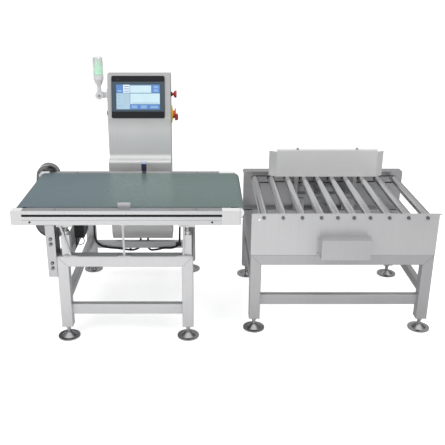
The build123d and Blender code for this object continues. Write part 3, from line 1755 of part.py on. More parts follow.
parts = {
    "weigh_frame": weigh_frame(),
    "reject_frame": reject_frame(),
    "foot_pads": foot_pads(),
    "foot_studs": foot_studs(),
    "load_cells": load_cells(),
    "bed_cross_bars": bed_cross_bars(),
    "bed_rails": bed_rails(),
    "rail_end_blocks": rail_end_blocks(),
    "bed_plate": bed_plate(),
    "conveyor_belt": conveyor_belt(),
    "drive_roller": end_roller(drive_axis_x, belt_end + 4 - bed_rear),
    "idler_roller": end_roller(idler_axis_x, journal_length - rail_depth),
    "drive_pulley": drive_pulley(),
    "motor_pulley": motor_pulley(),
    "timing_belt": timing_belt(),
    "guard_housing": guard_housing(),
    "guard_lid": guard_lid(),
    "drive_motor": drive_motor(),
    "stay_straps": stay_straps(),
    "infeed_bracket": infeed_bracket(),
    "hex_bolts": hex_bolts(),
    "sensor_brackets": sensor_brackets(),
    "photo_sensor": photo_sensor(),
    "junction_boxes": junction_boxes(),
    "cable_glands": cable_glands(),
    "held_cables": held_cables(),
    "cabinet_shell": cabinet_shell(),
    "cabinet_door": cabinet_door(),
    "door_hinges": door_hinges(),
    "door_lock": door_lock(),
    "panel_frame": panel_frame(),
    "panel_screen": panel_screen(),
    "stop_collar": stop_collar(),
    "stop_button": stop_button(),
    "isolator_base": isolator_base(),
    "isolator_handle": isolator_handle(),
    "lamp_bracket": lamp_bracket(),
    "lamp_arm": lamp_arm(),
    "lamp_lens": lamp_lens(),
    "front_side_plate": front_side_plate(),
    "rear_side_plate": rear_side_plate(),
    "roller_axles": roller_axles(),
    "roller_belts": roller_belts(),
    "pusher_plate": pusher_plate(),
    "pusher_posts": pusher_posts(),
    "pusher_carriage": pusher_carriage(),
    "cylinder_barrel": cylinder_barrel(),
    "guide_rods": guide_rods(),
    "guide_supports": guide_supports(),
    "front_cover": front_cover(),
}
for number, axle_x in enumerate(axles_x, start=1):
    parts[f"roller_{number:02d}"] = bed_roller(axle_x)

low = Vector(*[min(getattr(p.bounding_box().min, axis) for p in parts.values()) for axis in "XYZ"])
high = Vector(*[max(getattr(p.bounding_box().max, axis) for p in parts.values()) for axis in "XYZ"])
middle_x, middle_y = (low.X + high.X) / 2, (low.Y + high.Y) / 2

os.makedirs("parts", exist_ok=True)
for name, solid in parts.items():
    export_step(Pos(-middle_x, -middle_y, 0) * solid, f"parts/{name}.step")
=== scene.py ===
import math

import bmesh
import bpy
from mathutils import Matrix, Vector


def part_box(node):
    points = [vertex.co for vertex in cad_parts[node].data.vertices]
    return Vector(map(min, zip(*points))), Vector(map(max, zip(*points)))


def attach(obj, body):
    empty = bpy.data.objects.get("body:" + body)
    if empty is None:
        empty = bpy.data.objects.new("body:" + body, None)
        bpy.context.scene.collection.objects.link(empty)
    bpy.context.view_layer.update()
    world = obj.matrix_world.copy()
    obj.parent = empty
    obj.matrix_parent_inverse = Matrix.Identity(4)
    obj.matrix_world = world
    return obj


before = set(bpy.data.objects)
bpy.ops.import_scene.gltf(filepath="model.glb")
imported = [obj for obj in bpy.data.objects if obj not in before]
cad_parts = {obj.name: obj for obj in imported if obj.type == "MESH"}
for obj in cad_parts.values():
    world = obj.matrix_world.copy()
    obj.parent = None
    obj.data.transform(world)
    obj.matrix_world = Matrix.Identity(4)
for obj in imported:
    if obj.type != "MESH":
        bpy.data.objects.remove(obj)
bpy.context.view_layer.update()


# The camera stands about three metres in front of the machine at a standing person's eye
# height, turned down a little, with a slight shift to frame both sections.
camera_tilt = math.radians(20.8)
camera_data = bpy.data.cameras.new("camera")
camera_data.sensor_fit = "HORIZONTAL"
camera_data.sensor_width = 36.0
camera_data.lens = 54.46
camera_data.shift_x = 0.043
camera_data.clip_end = 200.0
camera = bpy.data.objects.new("camera", camera_data)
camera.location = (-0.0905, -3.121, 1.5989)
camera.rotation_euler = (math.pi / 2 - camera_tilt, 0, 0)
bpy.context.scene.collection.objects.link(camera)
bpy.context.scene.camera = camera
bpy.context.scene.view_settings.view_transform = "Standard"


# The studio: a pale room that is bright in front of the machine and darker behind it and
# at its sides, as a white cove with its lamps on the photographer's side is. Metal mirrors
# that room, other surfaces take an even light from it, and the camera sees plain white.
white = (1, 1, 1)
ambient_strength = 0.5


def add_node(tree, kind, **settings):
    """A node of one kind, with its settings."""
    made = tree.nodes.new(kind)
    for name, value in settings.items():
        setattr(made, name, value)
    return made


def feed(tree, socket, value):
    """A socket takes a number, a colour or a link from another socket."""
    if isinstance(value, bpy.types.NodeSocket):
        tree.links.new(value, socket)
    elif isinstance(value, tuple):
        socket.default_value = (*value, 1)
    else:
        socket.default_value = value


def arithmetic(tree, operation, first, second=0.0):
    """A Math node; each input is a socket or a number."""
    made = add_node(tree, "ShaderNodeMath", operation=operation)
    feed(tree, made.inputs[0], first)
    feed(tree, made.inputs[1], second)
    return made.outputs[0]


def total(tree, first, *others):
    """Values added up."""
    for other in others:
        first = arithmetic(tree, "ADD", first, other)
    return first


def product(tree, first, *others):
    """Values multiplied."""
    for other in others:
        first = arithmetic(tree, "MULTIPLY", first, other)
    return first


def in_range(tree, value, given, wanted):
    """A value taken smoothly from one range to another, and held at their ends."""
    made = add_node(tree, "ShaderNodeMapRange", interpolation_type="SMOOTHSTEP")
    tree.links.new(value, made.inputs["Value"])
    for label, number in (("From Min", given[0]), ("From Max", given[1]),
                          ("To Min", wanted[0]), ("To Max", wanted[1])):
        made.inputs[label].default_value = number
    return made.outputs["Result"]


def axes_of(tree, source="Object"):
    """The X, Y and Z of the place that is shaded, or of the direction that is looked in."""
    axes = add_node(tree, "ShaderNodeSeparateXYZ")
    tree.links.new(add_node(tree, "ShaderNodeTexCoord").outputs[source], axes.inputs[0])
    return axes.outputs


def background(tree, strength):
    """A white background of one strength."""
    made = add_node(tree, "ShaderNodeBackground")
    feed(tree, made.inputs["Color"], white)
    feed(tree, made.inputs["Strength"], strength)
    return made.outputs[0]


def chosen(tree, ray, otherwise, where_so):
    """One of two shaders, by the kind of ray."""
    made = add_node(tree, "ShaderNodeMixShader")
    for socket, value in zip(made.inputs, (ray, otherwise, where_so)):
        tree.links.new(value, socket)
    return made.outputs[0]


world = bpy.data.worlds.new("studio")
world.use_nodes = True
tree = world.node_tree
tree.nodes.clear()
rays = add_node(tree, "ShaderNodeLightPath").outputs
direction = axes_of(tree, "Generated")
upward = in_range(tree, direction["Z"], (0.25, 0.85), (0.36, 1.0))
forward = in_range(tree, direction["Y"], (-1.0, 0.5), (0.32, 0.0))
aside = arithmetic(tree, "ABSOLUTE", direction["X"])
sideways = in_range(tree, aside, (0.3, 0.95), (1.0, 0.4))
room = product(tree, total(tree, upward, forward), sideways)
lit = chosen(tree, rays["Is Glossy Ray"], background(tree, ambient_strength),
             background(tree, room))
seen = arithmetic(tree, "MAXIMUM", rays["Is Camera Ray"], rays["Is Transmission Ray"])
surface = chosen(tree, seen, lit, background(tree, 1.0))
tree.links.new(surface, add_node(tree, "ShaderNodeOutputWorld").inputs["Surface"])
bpy.context.scene.world = world


def soft_light(name, place, target, size, power):
    """A square area lamp that points at a target and isn't mirrored in metal."""
    lamp = bpy.data.lights.new(name, "AREA")
    lamp.shape = "SQUARE"
    lamp.size = size
    lamp.energy = power
    holder = bpy.data.objects.new(name, lamp)
    holder.location = place
    aim = Vector(target) - Vector(place)
    holder.rotation_euler = aim.to_track_quat("-Z", "Y").to_euler()
    holder.visible_glossy = False
    bpy.context.scene.collection.objects.link(holder)


soft_light("light_front_left", (-2.6, -3.0, 3.2), (0, 0, 0.5), size=2.2, power=60)
soft_light("light_front_right", (2.8, -2.6, 2.6), (0, 0, 0.5), size=2.2, power=30)
soft_light("light_top", (0, 0.4, 3.6), (0, 0, 0.4), size=3.0, power=55)


# The floor: a white sheet. It looks white to the camera apart from the machine's soft
# shadow; where metal mirrors it, its colour and glow are painted darker behind and to the right, a
# painted pool of light in front and on the left.
floor_reach = 60
floor_paint = (0.86, 0.86, 0.86)
camera_lift = 0.62
mirrored_lift = 0.3


def new_material(name):
    """A node material with its Principled shader, to fill in."""
    material = bpy.data.materials.new(name)
    material.use_nodes = True
    return material, material.node_tree, material.node_tree.nodes["Principled BSDF"]


def color_mix(tree, factor, first, second, blend="MIX"):
    """One colour blended with another; the Mix node's colour inputs are its 6 and 7."""
    made = add_node(tree, "ShaderNodeMix", data_type="RGBA", blend_type=blend)
    feed(tree, made.inputs["Factor"], factor)
    feed(tree, made.inputs[6], first)
    feed(tree, made.inputs[7], second)
    return made.outputs[2]


floor_mesh = bmesh.new()
bmesh.ops.create_grid(floor_mesh, x_segments=1, y_segments=1, size=floor_reach)
data = bpy.data.meshes.new("floor")
floor_mesh.to_mesh(data)
floor_mesh.free()
floor = bpy.data.objects.new("floor", data)
bpy.context.scene.collection.objects.link(floor)
material, tree, shader = new_material("floor_white")
rays = add_node(tree, "ShaderNodeLightPath").outputs
place = axes_of(tree)
# Painted shade on the floor where metal mirrors it: darker behind and to the right.
painted_floor_shade = product(tree, in_range(tree, place["Y"], (-1.5, 0.9), (1.0, 0.4)),
                      in_range(tree, place["X"], (-0.5, 1.3), (1.0, 0.58)))
color = color_mix(tree, rays["Is Glossy Ray"], floor_paint, painted_floor_shade)
tree.links.new(color, shader.inputs["Base Color"])
lift = total(tree, product(tree, rays["Is Camera Ray"], camera_lift),
             product(tree, rays["Is Glossy Ray"], mirrored_lift, painted_floor_shade))
tree.links.new(lift, shader.inputs["Emission Strength"])
feed(tree, shader.inputs["Emission Color"], white)
shader.inputs["Roughness"].default_value = 0.9
shader.inputs["Specular IOR Level"].default_value = 0.0
floor.data.materials.append(material)


# The weighing frame: a table of square stainless tube, mitred and welded, ground along its
# length with a belt, so that fine lines run over it and hands leave dull patches.
def new_group(name, inputs, outputs):
    """An empty shader node group, with its named inputs and outputs to link."""
    group = bpy.data.node_groups.new(name, "ShaderNodeTree")
    for way, sockets in (("INPUT", inputs), ("OUTPUT", outputs)):
        for label, kind in sockets:
            group.interface.new_socket(name=label, in_out=way, socket_type="NodeSocket" + kind)
    given = add_node(group, "NodeGroupInput").outputs
    return group, given, add_node(group, "NodeGroupOutput").inputs


def noise_value(tree, vector, scale, detail, distortion=0.0):
    """Noise over a vector, about zero."""
    made = add_node(tree, "ShaderNodeTexNoise")
    tree.links.new(vector, made.inputs["Vector"])
    made.inputs["Scale"].default_value = scale
    made.inputs["Detail"].default_value = detail
    made.inputs["Distortion"].default_value = distortion
    return arithmetic(tree, "SUBTRACT", made.outputs["Fac"], 0.5)


def object_place(tree):
    """The place on the machine that is shaded."""
    return add_node(tree, "ShaderNodeTexCoord").outputs["Object"]


finish_outputs = (("Color", "Color"), ("Roughness", "Float"), ("Height", "Float"))
brushed, given, result = new_group(
    "ground_metal",
    (("Lines", "Vector"), ("Place", "Vector"), ("Color", "Color"), ("Roughness", "Float"),
     ("Line Depth", "Float"), ("Patches", "Float")), finish_outputs)
lines = noise_value(brushed, given["Lines"], scale=1.0, detail=4.0)
patches = noise_value(brushed, given["Place"], scale=5.0, detail=3.0)
spots = noise_value(brushed, given["Place"], scale=60.0, detail=2.0, distortion=1.5)
marks = in_range(brushed, spots, (0.16, 0.26), (0.0, 1.0))
line_shade = product(brushed, lines, given["Line Depth"])
patch_shade = product(brushed, patches, given["Patches"])
shade = total(brushed, line_shade, patch_shade, 1.0, product(brushed, marks, -0.05))
tone = color_mix(brushed, 1.0, given["Color"], shade, "MULTIPLY")
rough = total(brushed, given["Roughness"], product(brushed, line_shade, 0.35),
              product(brushed, patch_shade, 0.6), product(brushed, marks, 0.06))
brushed.links.new(tone, result["Color"])
brushed.links.new(rough, result["Roughness"])
brushed.links.new(lines, result["Height"])


def add_finish(tree, finish, color, patches, roughness=0.0):
    """A finish group placed in a material with its own values."""
    group = add_node(tree, "ShaderNodeGroup", node_tree=finish)
    tree.links.new(object_place(tree), group.inputs["Place"])
    feed(tree, group.inputs["Color"], color)
    group.inputs["Roughness"].default_value = roughness
    group.inputs["Patches"].default_value = patches
    return group


def wear_finish(tree, shader, group):
    """The group's colour and roughness go on the shader."""
    tree.links.new(group.outputs["Color"], shader.inputs["Base Color"])
    tree.links.new(group.outputs["Roughness"], shader.inputs["Roughness"])


def add_relief(tree, shader, height, strength, depth):
    """A fine relief on a surface; its depth is in metres."""
    relief = add_node(tree, "ShaderNodeBump")
    relief.inputs["Strength"].default_value = strength
    relief.inputs["Distance"].default_value = depth
    tree.links.new(height, relief.inputs["Height"])
    tree.links.new(relief.outputs[0], shader.inputs["Normal"])


def bare_metal(name, color, roughness, across, line_depth, patches, metallic=1.0):
    """Metal ground in one direction; across gives the lines per metre on each axis."""
    material, tree, shader = new_material(name)
    shader.inputs["Metallic"].default_value = metallic
    group = add_finish(tree, brushed, color, patches, roughness)
    stretch = add_node(tree, "ShaderNodeMapping")
    stretch.inputs["Scale"].default_value = across
    tree.links.new(object_place(tree), stretch.inputs["Vector"])
    tree.links.new(stretch.outputs[0], group.inputs["Lines"])
    group.inputs["Line Depth"].default_value = line_depth
    wear_finish(tree, shader, group)
    return material, tree, shader, group


def metal(name, color, roughness, across, line_depth=0.22, patches=0.16, bump=0.1, metallic=1.0):
    """Bare metal with its grinding lines in relief."""
    material, tree, shader, group = bare_metal(
        name, color, roughness, across, line_depth, patches, metallic)
    add_relief(tree, shader, group.outputs["Height"], strength=bump, depth=0.0005)
    return material


def dress(material, *names):
    """The material goes on the named CAD nodes."""
    for name in names:
        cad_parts[name].material_slots[0].material = material


frame_steel = metal("frame_steel", (0.63, 0.63, 0.64), roughness=0.36, across=(400, 400, 12),
                    line_depth=0.12, metallic=0.6)
dress(frame_steel, "weigh_frame")


# The mitre welds at the front corners of both tables: a thin bead across each corner,
# ground nearly flush and a little darker than the tube.
weld_radius = 0.0008
weld_start = 0.002
weld_end = 0.048
weld_proud = 0.0002
weigh_table_top = 0.410
sharp_angle = math.radians(35)


def smooth_object(name, mesh, materials, body):
    """The bmesh becomes a piece of the machine, smooth apart from its sharp edges."""
    bmesh.ops.recalc_face_normals(mesh, faces=mesh.faces)
    for face in mesh.faces:
        face.smooth = True
    data = bpy.data.meshes.new(name)
    mesh.to_mesh(data)
    mesh.free()
    data.set_sharp_from_angle(angle=sharp_angle)
    for material in materials:
        data.materials.append(material)
    piece = bpy.data.objects.new(name, data)
    bpy.context.scene.collection.objects.link(piece)
    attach(piece, body)


def facing(out):
    """The turn that takes +Z to a direction."""
    return Vector((0, 0, 1)).rotation_difference(Vector(out)).to_matrix().to_4x4()


def added(mesh, known):
    """The corners that a mesh has gained since a set of its corners was taken."""
    return [corner for corner in mesh.verts if corner not in known]


def add_rod(mesh, start, end, radius, segments):
    """A round bar between two points."""
    known = set(mesh.verts)
    run = Vector(end) - Vector(start)
    bmesh.ops.create_cone(mesh, cap_ends=True, segments=segments, radius1=radius,
                          radius2=radius, depth=run.length)
    middle = Matrix.Translation((Vector(start) + Vector(end)) / 2)
    bmesh.ops.transform(mesh, matrix=middle @ facing(run), verts=added(mesh, known))


weld_steel = metal("weld_steel", (0.34, 0.34, 0.35), roughness=0.5, across=(300, 300, 300),
                   line_depth=0.5, patches=0.3, bump=0.4)
welds = bmesh.new()
weigh_low, weigh_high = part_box("weigh_frame")
reject_low, reject_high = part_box("reject_frame")
for low, high, top in ((weigh_low, weigh_high, weigh_table_top),
                       (reject_low, reject_high, reject_high.z)):
    for corner, inwards in ((low.x, 1), (high.x, -1)):
        start, end = ((corner + inwards * along, low.y + weld_proud, top - along)
                      for along in (weld_start, weld_end))
        add_rod(welds, start, end, weld_radius, segments=8)
smooth_object("mitre_welds", welds, [weld_steel], "base")


# The levelling feet: cast steel pads, dark and shiny, on threaded studs, so that the
# thread shows as fine rings up each stud.
def add_rings(tree, scale):
    """Rings about Z, such as a thread's, as a height."""
    rings = add_node(tree, "ShaderNodeTexWave", wave_type="BANDS", bands_direction="Z")
    rings.inputs["Scale"].default_value = scale
    tree.links.new(object_place(tree), rings.inputs["Vector"])
    return rings.outputs["Fac"]


def turned_metal(name, color, roughness, pitch, depth):
    """Bright steel with a thread or turning rings along Z."""
    material, tree, shader = bare_metal(name, color, roughness, across=(60, 60, 60),
                                        line_depth=0.12, patches=0.15)[:3]
    add_relief(tree, shader, add_rings(tree, math.pi / 10 / pitch), strength=0.8, depth=depth)
    return material


pad_steel = metal("pad_steel", (0.44, 0.44, 0.45), roughness=0.2, across=(40, 40, 40),
                  line_depth=0.15, patches=0.3, bump=0.15)
dress(pad_steel, "foot_pads")
stud_steel = turned_metal("stud_steel", (0.58, 0.58, 0.58), roughness=0.28, pitch=0.002,
                          depth=0.0006)
dress(stud_steel, "foot_studs")


# The load cells: small turned steel cans on adjuster studs, bright and finely ringed,
# bolted between the posts and the cross bars.
cell_steel = turned_metal("cell_steel", (0.62, 0.62, 0.62), roughness=0.26, pitch=0.0012,
                          depth=0.0002)
dress(cell_steel, "load_cells")


# Flat bars, stay straps, the infeed bracket and the small brackets: steel sheet and bar
# with the mill's fine grain along them, held by darker hexagon bolts.
bar_steel = metal("bar_steel", (0.56, 0.56, 0.57), roughness=0.38, across=(30, 160, 160))
dress(bar_steel, "bed_cross_bars", "bed_plate", "sensor_brackets")
strap_steel = metal("strap_steel", (0.50, 0.50, 0.51), roughness=0.36, across=(120, 120, 20))
dress(strap_steel, "stay_straps", "infeed_bracket")
bolt_steel = metal("bolt_steel", (0.20, 0.20, 0.205), roughness=0.22, across=(200, 200, 200),
                   line_depth=0.15, patches=0.2)
dress(bolt_steel, "hex_bolts")


# The bed rails: extruded aluminium with a T-slot along each side, anodised satin, with the
# die's straight lines along the length and a black cover strip pressed into the slot.
slot_height = 0.600
strip_end_gap = 0.0015
strip_depths = (0.0006, 0.0095)
strip_half_height = 0.0056
line_bottoms = (-0.0025, 0.0013)
line_height = 0.0012
line_proud = 0.0004


def meeting(corners, kind):
    """The edges or faces that meet some corners, each once and always in the same order."""
    return list(dict.fromkeys(met for corner in corners for met in getattr(corner, kind)))


def add_block(mesh, low, high, rounding, segments=2):
    """A box between two corners with rounded edges."""
    known = set(mesh.verts)
    bmesh.ops.create_cube(mesh, size=1.0)
    corners = added(mesh, known)
    size = Matrix.Diagonal((*[b - a for a, b in zip(low, high)], 1))
    middle = Matrix.Translation([(a + b) / 2 for a, b in zip(low, high)])
    bmesh.ops.transform(mesh, matrix=middle @ size, verts=corners)
    bmesh.ops.bevel(mesh, geom=meeting(corners, "link_edges"), offset=rounding,
                    offset_type="OFFSET", affect="EDGES", segments=segments, profile=0.5,
                    material=-1)


moulded, given, result = new_group(
    "moulded_plastic",
    (("Place", "Vector"), ("Color", "Color"), ("Roughness", "Float"), ("Patches", "Float")),
    finish_outputs)
grain = noise_value(moulded, given["Place"], scale=900.0, detail=2.0)
patches = noise_value(moulded, given["Place"], scale=9.0, detail=3.0)
specks = noise_value(moulded, given["Place"], scale=240.0, detail=2.0)
dust = in_range(moulded, specks, (0.18, 0.28), (0.0, 1.0))
patch_shade = product(moulded, patches, given["Patches"])
shade = total(moulded, product(moulded, grain, 0.08), patch_shade, 1.0)
tone = color_mix(moulded, 1.0, given["Color"], shade, "MULTIPLY")
rough = total(moulded, given["Roughness"], product(moulded, patch_shade, 0.5),
              product(moulded, dust, 0.1))
moulded.links.new(tone, result["Color"])
moulded.links.new(rough, result["Roughness"])
moulded.links.new(grain, result["Height"])


def plastic(name, color, roughness, patches=0.15, bump=0.15, coat=0.0):
    """Moulded plastic or rubber with a fine texture from its tool."""
    material, tree, shader = new_material(name)
    group = add_finish(tree, moulded, color, patches, roughness)
    wear_finish(tree, shader, group)
    shader.inputs["Coat Weight"].default_value = coat
    shader.inputs["Coat Roughness"].default_value = 0.12
    add_relief(tree, shader, group.outputs["Height"], strength=bump, depth=0.0003)
    return material


rail_metal = metal("rail_metal", (0.60, 0.60, 0.61), roughness=0.36, across=(2, 260, 260),
                   line_depth=0.16, patches=0.1, bump=0.12)
dress(rail_metal, "bed_rails")
slot_black = plastic("slot_black", (0.004, 0.004, 0.005), roughness=0.75)
strips = bmesh.new()
rail_low, rail_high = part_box("bed_rails")
strip_start, strip_end = rail_low.x + strip_end_gap, rail_high.x - strip_end_gap
for side, inwards in ((rail_low.y, 1), (rail_high.y, -1)):
    face, back = (side + inwards * depth for depth in strip_depths)
    add_block(strips, (strip_start, min(face, back), slot_height - strip_half_height),
              (strip_end, max(face, back), slot_height + strip_half_height), rounding=0.0006)
    for rise in line_bottoms:
        bottom = slot_height + rise
        add_block(strips, (strip_start, face - line_proud, bottom),
                  (strip_end, face + line_proud, bottom + line_height), rounding=0.0003,
                  segments=1)
smooth_object("slot_strips", strips, [slot_black], "base")


# The rail end blocks: pale acetal blocks that hold the roller bearings, each bolted to its
# rail with a socket screw, a second screw clamping the bearing from above.
forwards, backwards = (0, -1, 0), (0, 1, 0)
leftwards, rightwards = (-1, 0, 0), (1, 0, 0)
upwards = (0, 0, 1)
side_screw_height = 0.570
side_screws_x = (-0.8395, -0.0525)
top_screws_x = (-0.7305, -0.1205)
top_screw_inset = 0.020
socket_depth = 0.7
socket_wall = 0.38
rim_rounding = 0.25


def add_screw(mesh, place, out, radius, height):
    """A socket screw's head: a low drum with a rounded rim and a deep round socket."""
    known = set(mesh.verts)
    bmesh.ops.create_cone(mesh, cap_ends=True, segments=20, radius1=radius, radius2=radius,
                          depth=height)
    faces = meeting(added(mesh, known), "link_faces")
    top = max(faces, key=lambda face: face.calc_center_median().z)
    bmesh.ops.bevel(mesh, geom=list(top.edges), offset=height * rim_rounding,
                    offset_type="OFFSET", affect="EDGES", segments=2, profile=0.5, material=-1)
    faces = meeting(added(mesh, known), "link_faces")
    top = max(faces, key=lambda face: (round(face.calc_center_median().z, 6), len(face.verts)))
    bmesh.ops.inset_region(mesh, faces=[top], thickness=radius * socket_wall,
                           use_even_offset=True)
    sunk = bmesh.ops.extrude_discrete_faces(mesh, faces=[top])["faces"][0]
    bmesh.ops.translate(mesh, verts=sunk.verts, vec=(0, 0, -height * socket_depth))
    seat = Matrix.Translation(Vector(place) + Vector(out).normalized() * height / 2)
    bmesh.ops.transform(mesh, matrix=seat @ facing(out), verts=added(mesh, known))


def add_screws(name, seats, radius, height, material):
    """Like screws as one piece; a seat is a place and the direction that the head faces."""
    screws = bmesh.new()
    for place, out in seats:
        add_screw(screws, place, out, radius, height)
    smooth_object(name, screws, [material], "base")


end_block_acetal = plastic("end_block_acetal", (0.76, 0.76, 0.76), roughness=0.38, patches=0.06)
dress(end_block_acetal, "rail_end_blocks")
screw_steel = metal("screw_steel", (0.42, 0.42, 0.43), roughness=0.3, across=(300, 300, 300),
                    line_depth=0.2, patches=0.2)
black_screw = metal("black_screw", (0.05, 0.05, 0.055), roughness=0.35, across=(300, 300, 300),
                    line_depth=0.2, patches=0.2)
side_seats = [((along, side, side_screw_height), out)
              for along in side_screws_x
              for side, out in ((rail_low.y, forwards), (rail_high.y, backwards))]
add_screws("rail_side_screws", side_seats, radius=0.0045, height=0.0025, material=black_screw)
top_seats = [((along, across, rail_high.z), upwards)
             for along in top_screws_x
             for across in (rail_low.y + top_screw_inset, rail_high.y - top_screw_inset)]
add_screws("rail_top_screws", top_seats, radius=0.0042, height=0.0022, material=screw_steel)


# The conveyor belt: an endless woven belt with a smooth teal-grey cover, bluer at its left
# end, its colour painted lighter along the middle where the packs run, a painted sheen.
belt_middle = -0.111
blue_grey = (0.105, 0.155, 0.178)
teal_grey = (0.118, 0.172, 0.162)
material, tree, shader = new_material("belt_cover")
axes = axes_of(tree)
tone = color_mix(tree, in_range(tree, axes["X"], (-0.75, -0.35), (0.0, 1.0)),
                 blue_grey, teal_grey)
group = add_finish(tree, moulded, tone, patches=0.12)
from_middle = arithmetic(tree, "ABSOLUTE", total(tree, axes["Y"], -belt_middle))
# Painted sheen: the colour is lighter along the middle and darker towards the edges.
painted_sheen_band = in_range(tree, from_middle, (0.06, 0.24), (1.05, 0.97))
color = color_mix(tree, 1.0, group.outputs["Color"], painted_sheen_band, "MULTIPLY")
tree.links.new(color, shader.inputs["Base Color"])
handling = noise_value(tree, object_place(tree), scale=7.0, detail=2.0)
polish = in_range(tree, handling, (-0.3, 0.3), (0.24, 0.32))
tree.links.new(polish, shader.inputs["Roughness"])
add_relief(tree, shader, group.outputs["Height"], strength=0.012, depth=0.0001)
dress(material, "conveyor_belt")


# The rollers and their shafts: turned steel tube, its fine turning rings running round it,
# with fixed steel axles through the ten reject rollers.
roller_metal = metal("roller_metal", (0.78, 0.78, 0.79), roughness=0.15, across=(6, 900, 6),
                     line_depth=0.12, patches=0.1)
dress(roller_metal, "drive_roller", "idler_roller",
      *[f"roller_{number:02d}" for number in range(1, 11)])
axle_steel = metal("axle_steel", (0.34, 0.34, 0.35), roughness=0.26, across=(60, 700, 60),
                   line_depth=0.15, patches=0.2)
dress(axle_steel, "roller_axles")


# The belt drive: toothed aluminium pulleys and a black toothed belt behind the guard, and
# the round rubber belts from roller to roller.
pulley_metal = metal("pulley_metal", (0.56, 0.56, 0.58), roughness=0.34, across=(20, 500, 20))
dress(pulley_metal, "drive_pulley", "motor_pulley")
drive_rubber = plastic("drive_rubber", (0.016, 0.016, 0.017), roughness=0.6, patches=0.3)
dress(drive_rubber, "timing_belt", "roller_belts")


# The guard: a pressed, polished stainless shell, its colour painted in dark patches and the
# lid's painted nearly black, a painted reflection of the dark machine; its lid is held by six
# small screws round the rim. Their heads are level with the front of the lid's boss, 6 mm before
# its sheet.
# Painted reflection: strong dark patches in the shell's colour and a near-black lid stand for the
# dark machine mirrored in it.
guard_painted_reflection = metal("guard_painted_reflection", (0.50, 0.50, 0.51), roughness=0.17, across=(26, 26, 26),
                    line_depth=0.7, patches=0.9, bump=0.9)
dress(guard_painted_reflection, "guard_housing")
lid_painted_reflection = metal("guard_lid_painted_reflection", (0.13, 0.13, 0.135), roughness=0.15, across=(24, 24, 24),
                  line_depth=1.2, patches=1.2, bump=1.0)
dress(lid_painted_reflection, "guard_lid")
boss_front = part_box("guard_lid")[0].y
rim_places = ((-0.923, 0.610), (-0.852, 0.610), (-0.941, 0.465), (-0.834, 0.465),
              (-0.949, 0.330), (-0.826, 0.330))
rim_seats = [((across, boss_front, height), forwards) for across, height in rim_places]
add_screws("guard_screws", rim_seats, radius=0.0035, height=0.0020, material=screw_steel)


# The gear motor: cast aluminium painted dark grey, bolted to the guard's back, with
# cooling fins round its body.
motor_x, motor_z = -0.8875, 0.3437
fin_count = 13
first_fin = 0.306
fin_pitch = 0.0062
fin_width = 0.0022
fin_radius = 0.0425
motor_paint = plastic("motor_paint", (0.06, 0.065, 0.07), roughness=0.42, patches=0.2, bump=0.5)
dress(motor_paint, "drive_motor")
fins = bmesh.new()
for count in range(fin_count):
    behind = first_fin + count * fin_pitch
    add_rod(fins, (motor_x, behind, motor_z), (motor_x, behind + fin_width, motor_z),
            fin_radius, segments=48)
smooth_object("motor_fins", fins, [motor_paint], "base")


# The photo sensor at the belt's edge: a small black housing with a blue cap and brim, and
# a round lens in its front.
lens_radius = 0.0065
lens_flatness = 0.22
lens_rise = 0.020


def add_dome(mesh, radius, seat, segments, rings):
    """A round cap: a ball that its seat presses flat."""
    bmesh.ops.create_uvsphere(mesh, u_segments=segments, v_segments=rings, radius=radius)
    bmesh.ops.transform(mesh, matrix=seat, verts=mesh.verts)


sensor_black = plastic("sensor_black", (0.022, 0.018, 0.05), roughness=0.3, patches=0.1, bump=0.1)
dress(sensor_black, "photo_sensor")
sensor_blue = plastic("sensor_blue", (0.48, 0.58, 0.82), roughness=0.3, patches=0.08)
sensor_low, sensor_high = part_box("photo_sensor")
cap = bmesh.new()
for inset, bottom, top, rounding in ((0.0012, -0.0075, 0.0006, 0.0012),
                                     (-0.0003, -0.0085, -0.0035, 0.0018)):
    add_block(cap, (sensor_low.x + inset, sensor_low.y + inset, sensor_high.z + bottom),
              (sensor_high.x - inset, sensor_high.y - inset, sensor_high.z + top), rounding)
smooth_object("sensor_cap", cap, [sensor_blue], "base")
lens_glass = plastic("sensor_lens_glass", (0.035, 0.01, 0.07), roughness=0.08, patches=0.05,
                     bump=0.0, coat=0.6)
lens_place = ((sensor_low.x + sensor_high.x) / 2, sensor_low.y, sensor_low.z + lens_rise)
lens_seat = Matrix.Translation(lens_place) @ Matrix.Diagonal((1, lens_flatness, 1, 1))
lens = bmesh.new()
add_dome(lens, lens_radius, lens_seat, segments=24, rings=12)
smooth_object("sensor_lens", lens, [lens_glass], "base")


# The junction box for the load cells: a black moulded housing hung over the left beam, its
# lid held by four corner screws, with black glands where the cables go in.
lid_screw_inset = 0.008
lid_screw_heights = (0.438, 0.492)
lid_screw_proud = 0.0002
box_black = plastic("box_black", (0.02, 0.021, 0.022), roughness=0.42, bump=0.4)
dress(box_black, "junction_boxes")
gland_black = plastic("gland_black", (0.014, 0.014, 0.016), roughness=0.35, bump=0.2)
dress(gland_black, "cable_glands")
box_low, box_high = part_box("junction_boxes")
lid_face = box_low.x + lid_screw_proud
lid_seats = [((lid_face, along, height), leftwards)
             for along in (box_low.y + lid_screw_inset, box_high.y - lid_screw_inset)
             for height in lid_screw_heights]
add_screws("box_lid_screws", lid_seats, radius=0.0028, height=0.0014, material=screw_steel)


# The cables: black rubber leads from the junction box and the load cell along the rear tie
# to the cabinet, held by nylon ties on small mounts and by one black clamp.
tie_radius = 0.0056
tie_width = 0.0036
tie_thickness = 0.0012
tie_head_reach = 0.0105
tie_head_half = (0.0035, 0.003)
mount_start = 0.0050
mount_half = 0.006
leg_tie_face = 0.3372
ties_at = (((-0.6325, 0.321, 0.1465), (0.044, 0, -0.009)),
           ((-0.4955, 0.3255, 0.1275), (0.036, 0.011, -0.007)),
           ((-0.3305, 0.3205, 0.1360), (-0.038, -0.001, -0.010)))
clamp_low = (-0.243, 0.3115, 0.1545)
clamp_high = (-0.213, leg_tie_face, 0.1745)
clamp_screws_x = (-0.2372, -0.2188)
clamp_screw_sunk = 0.0001


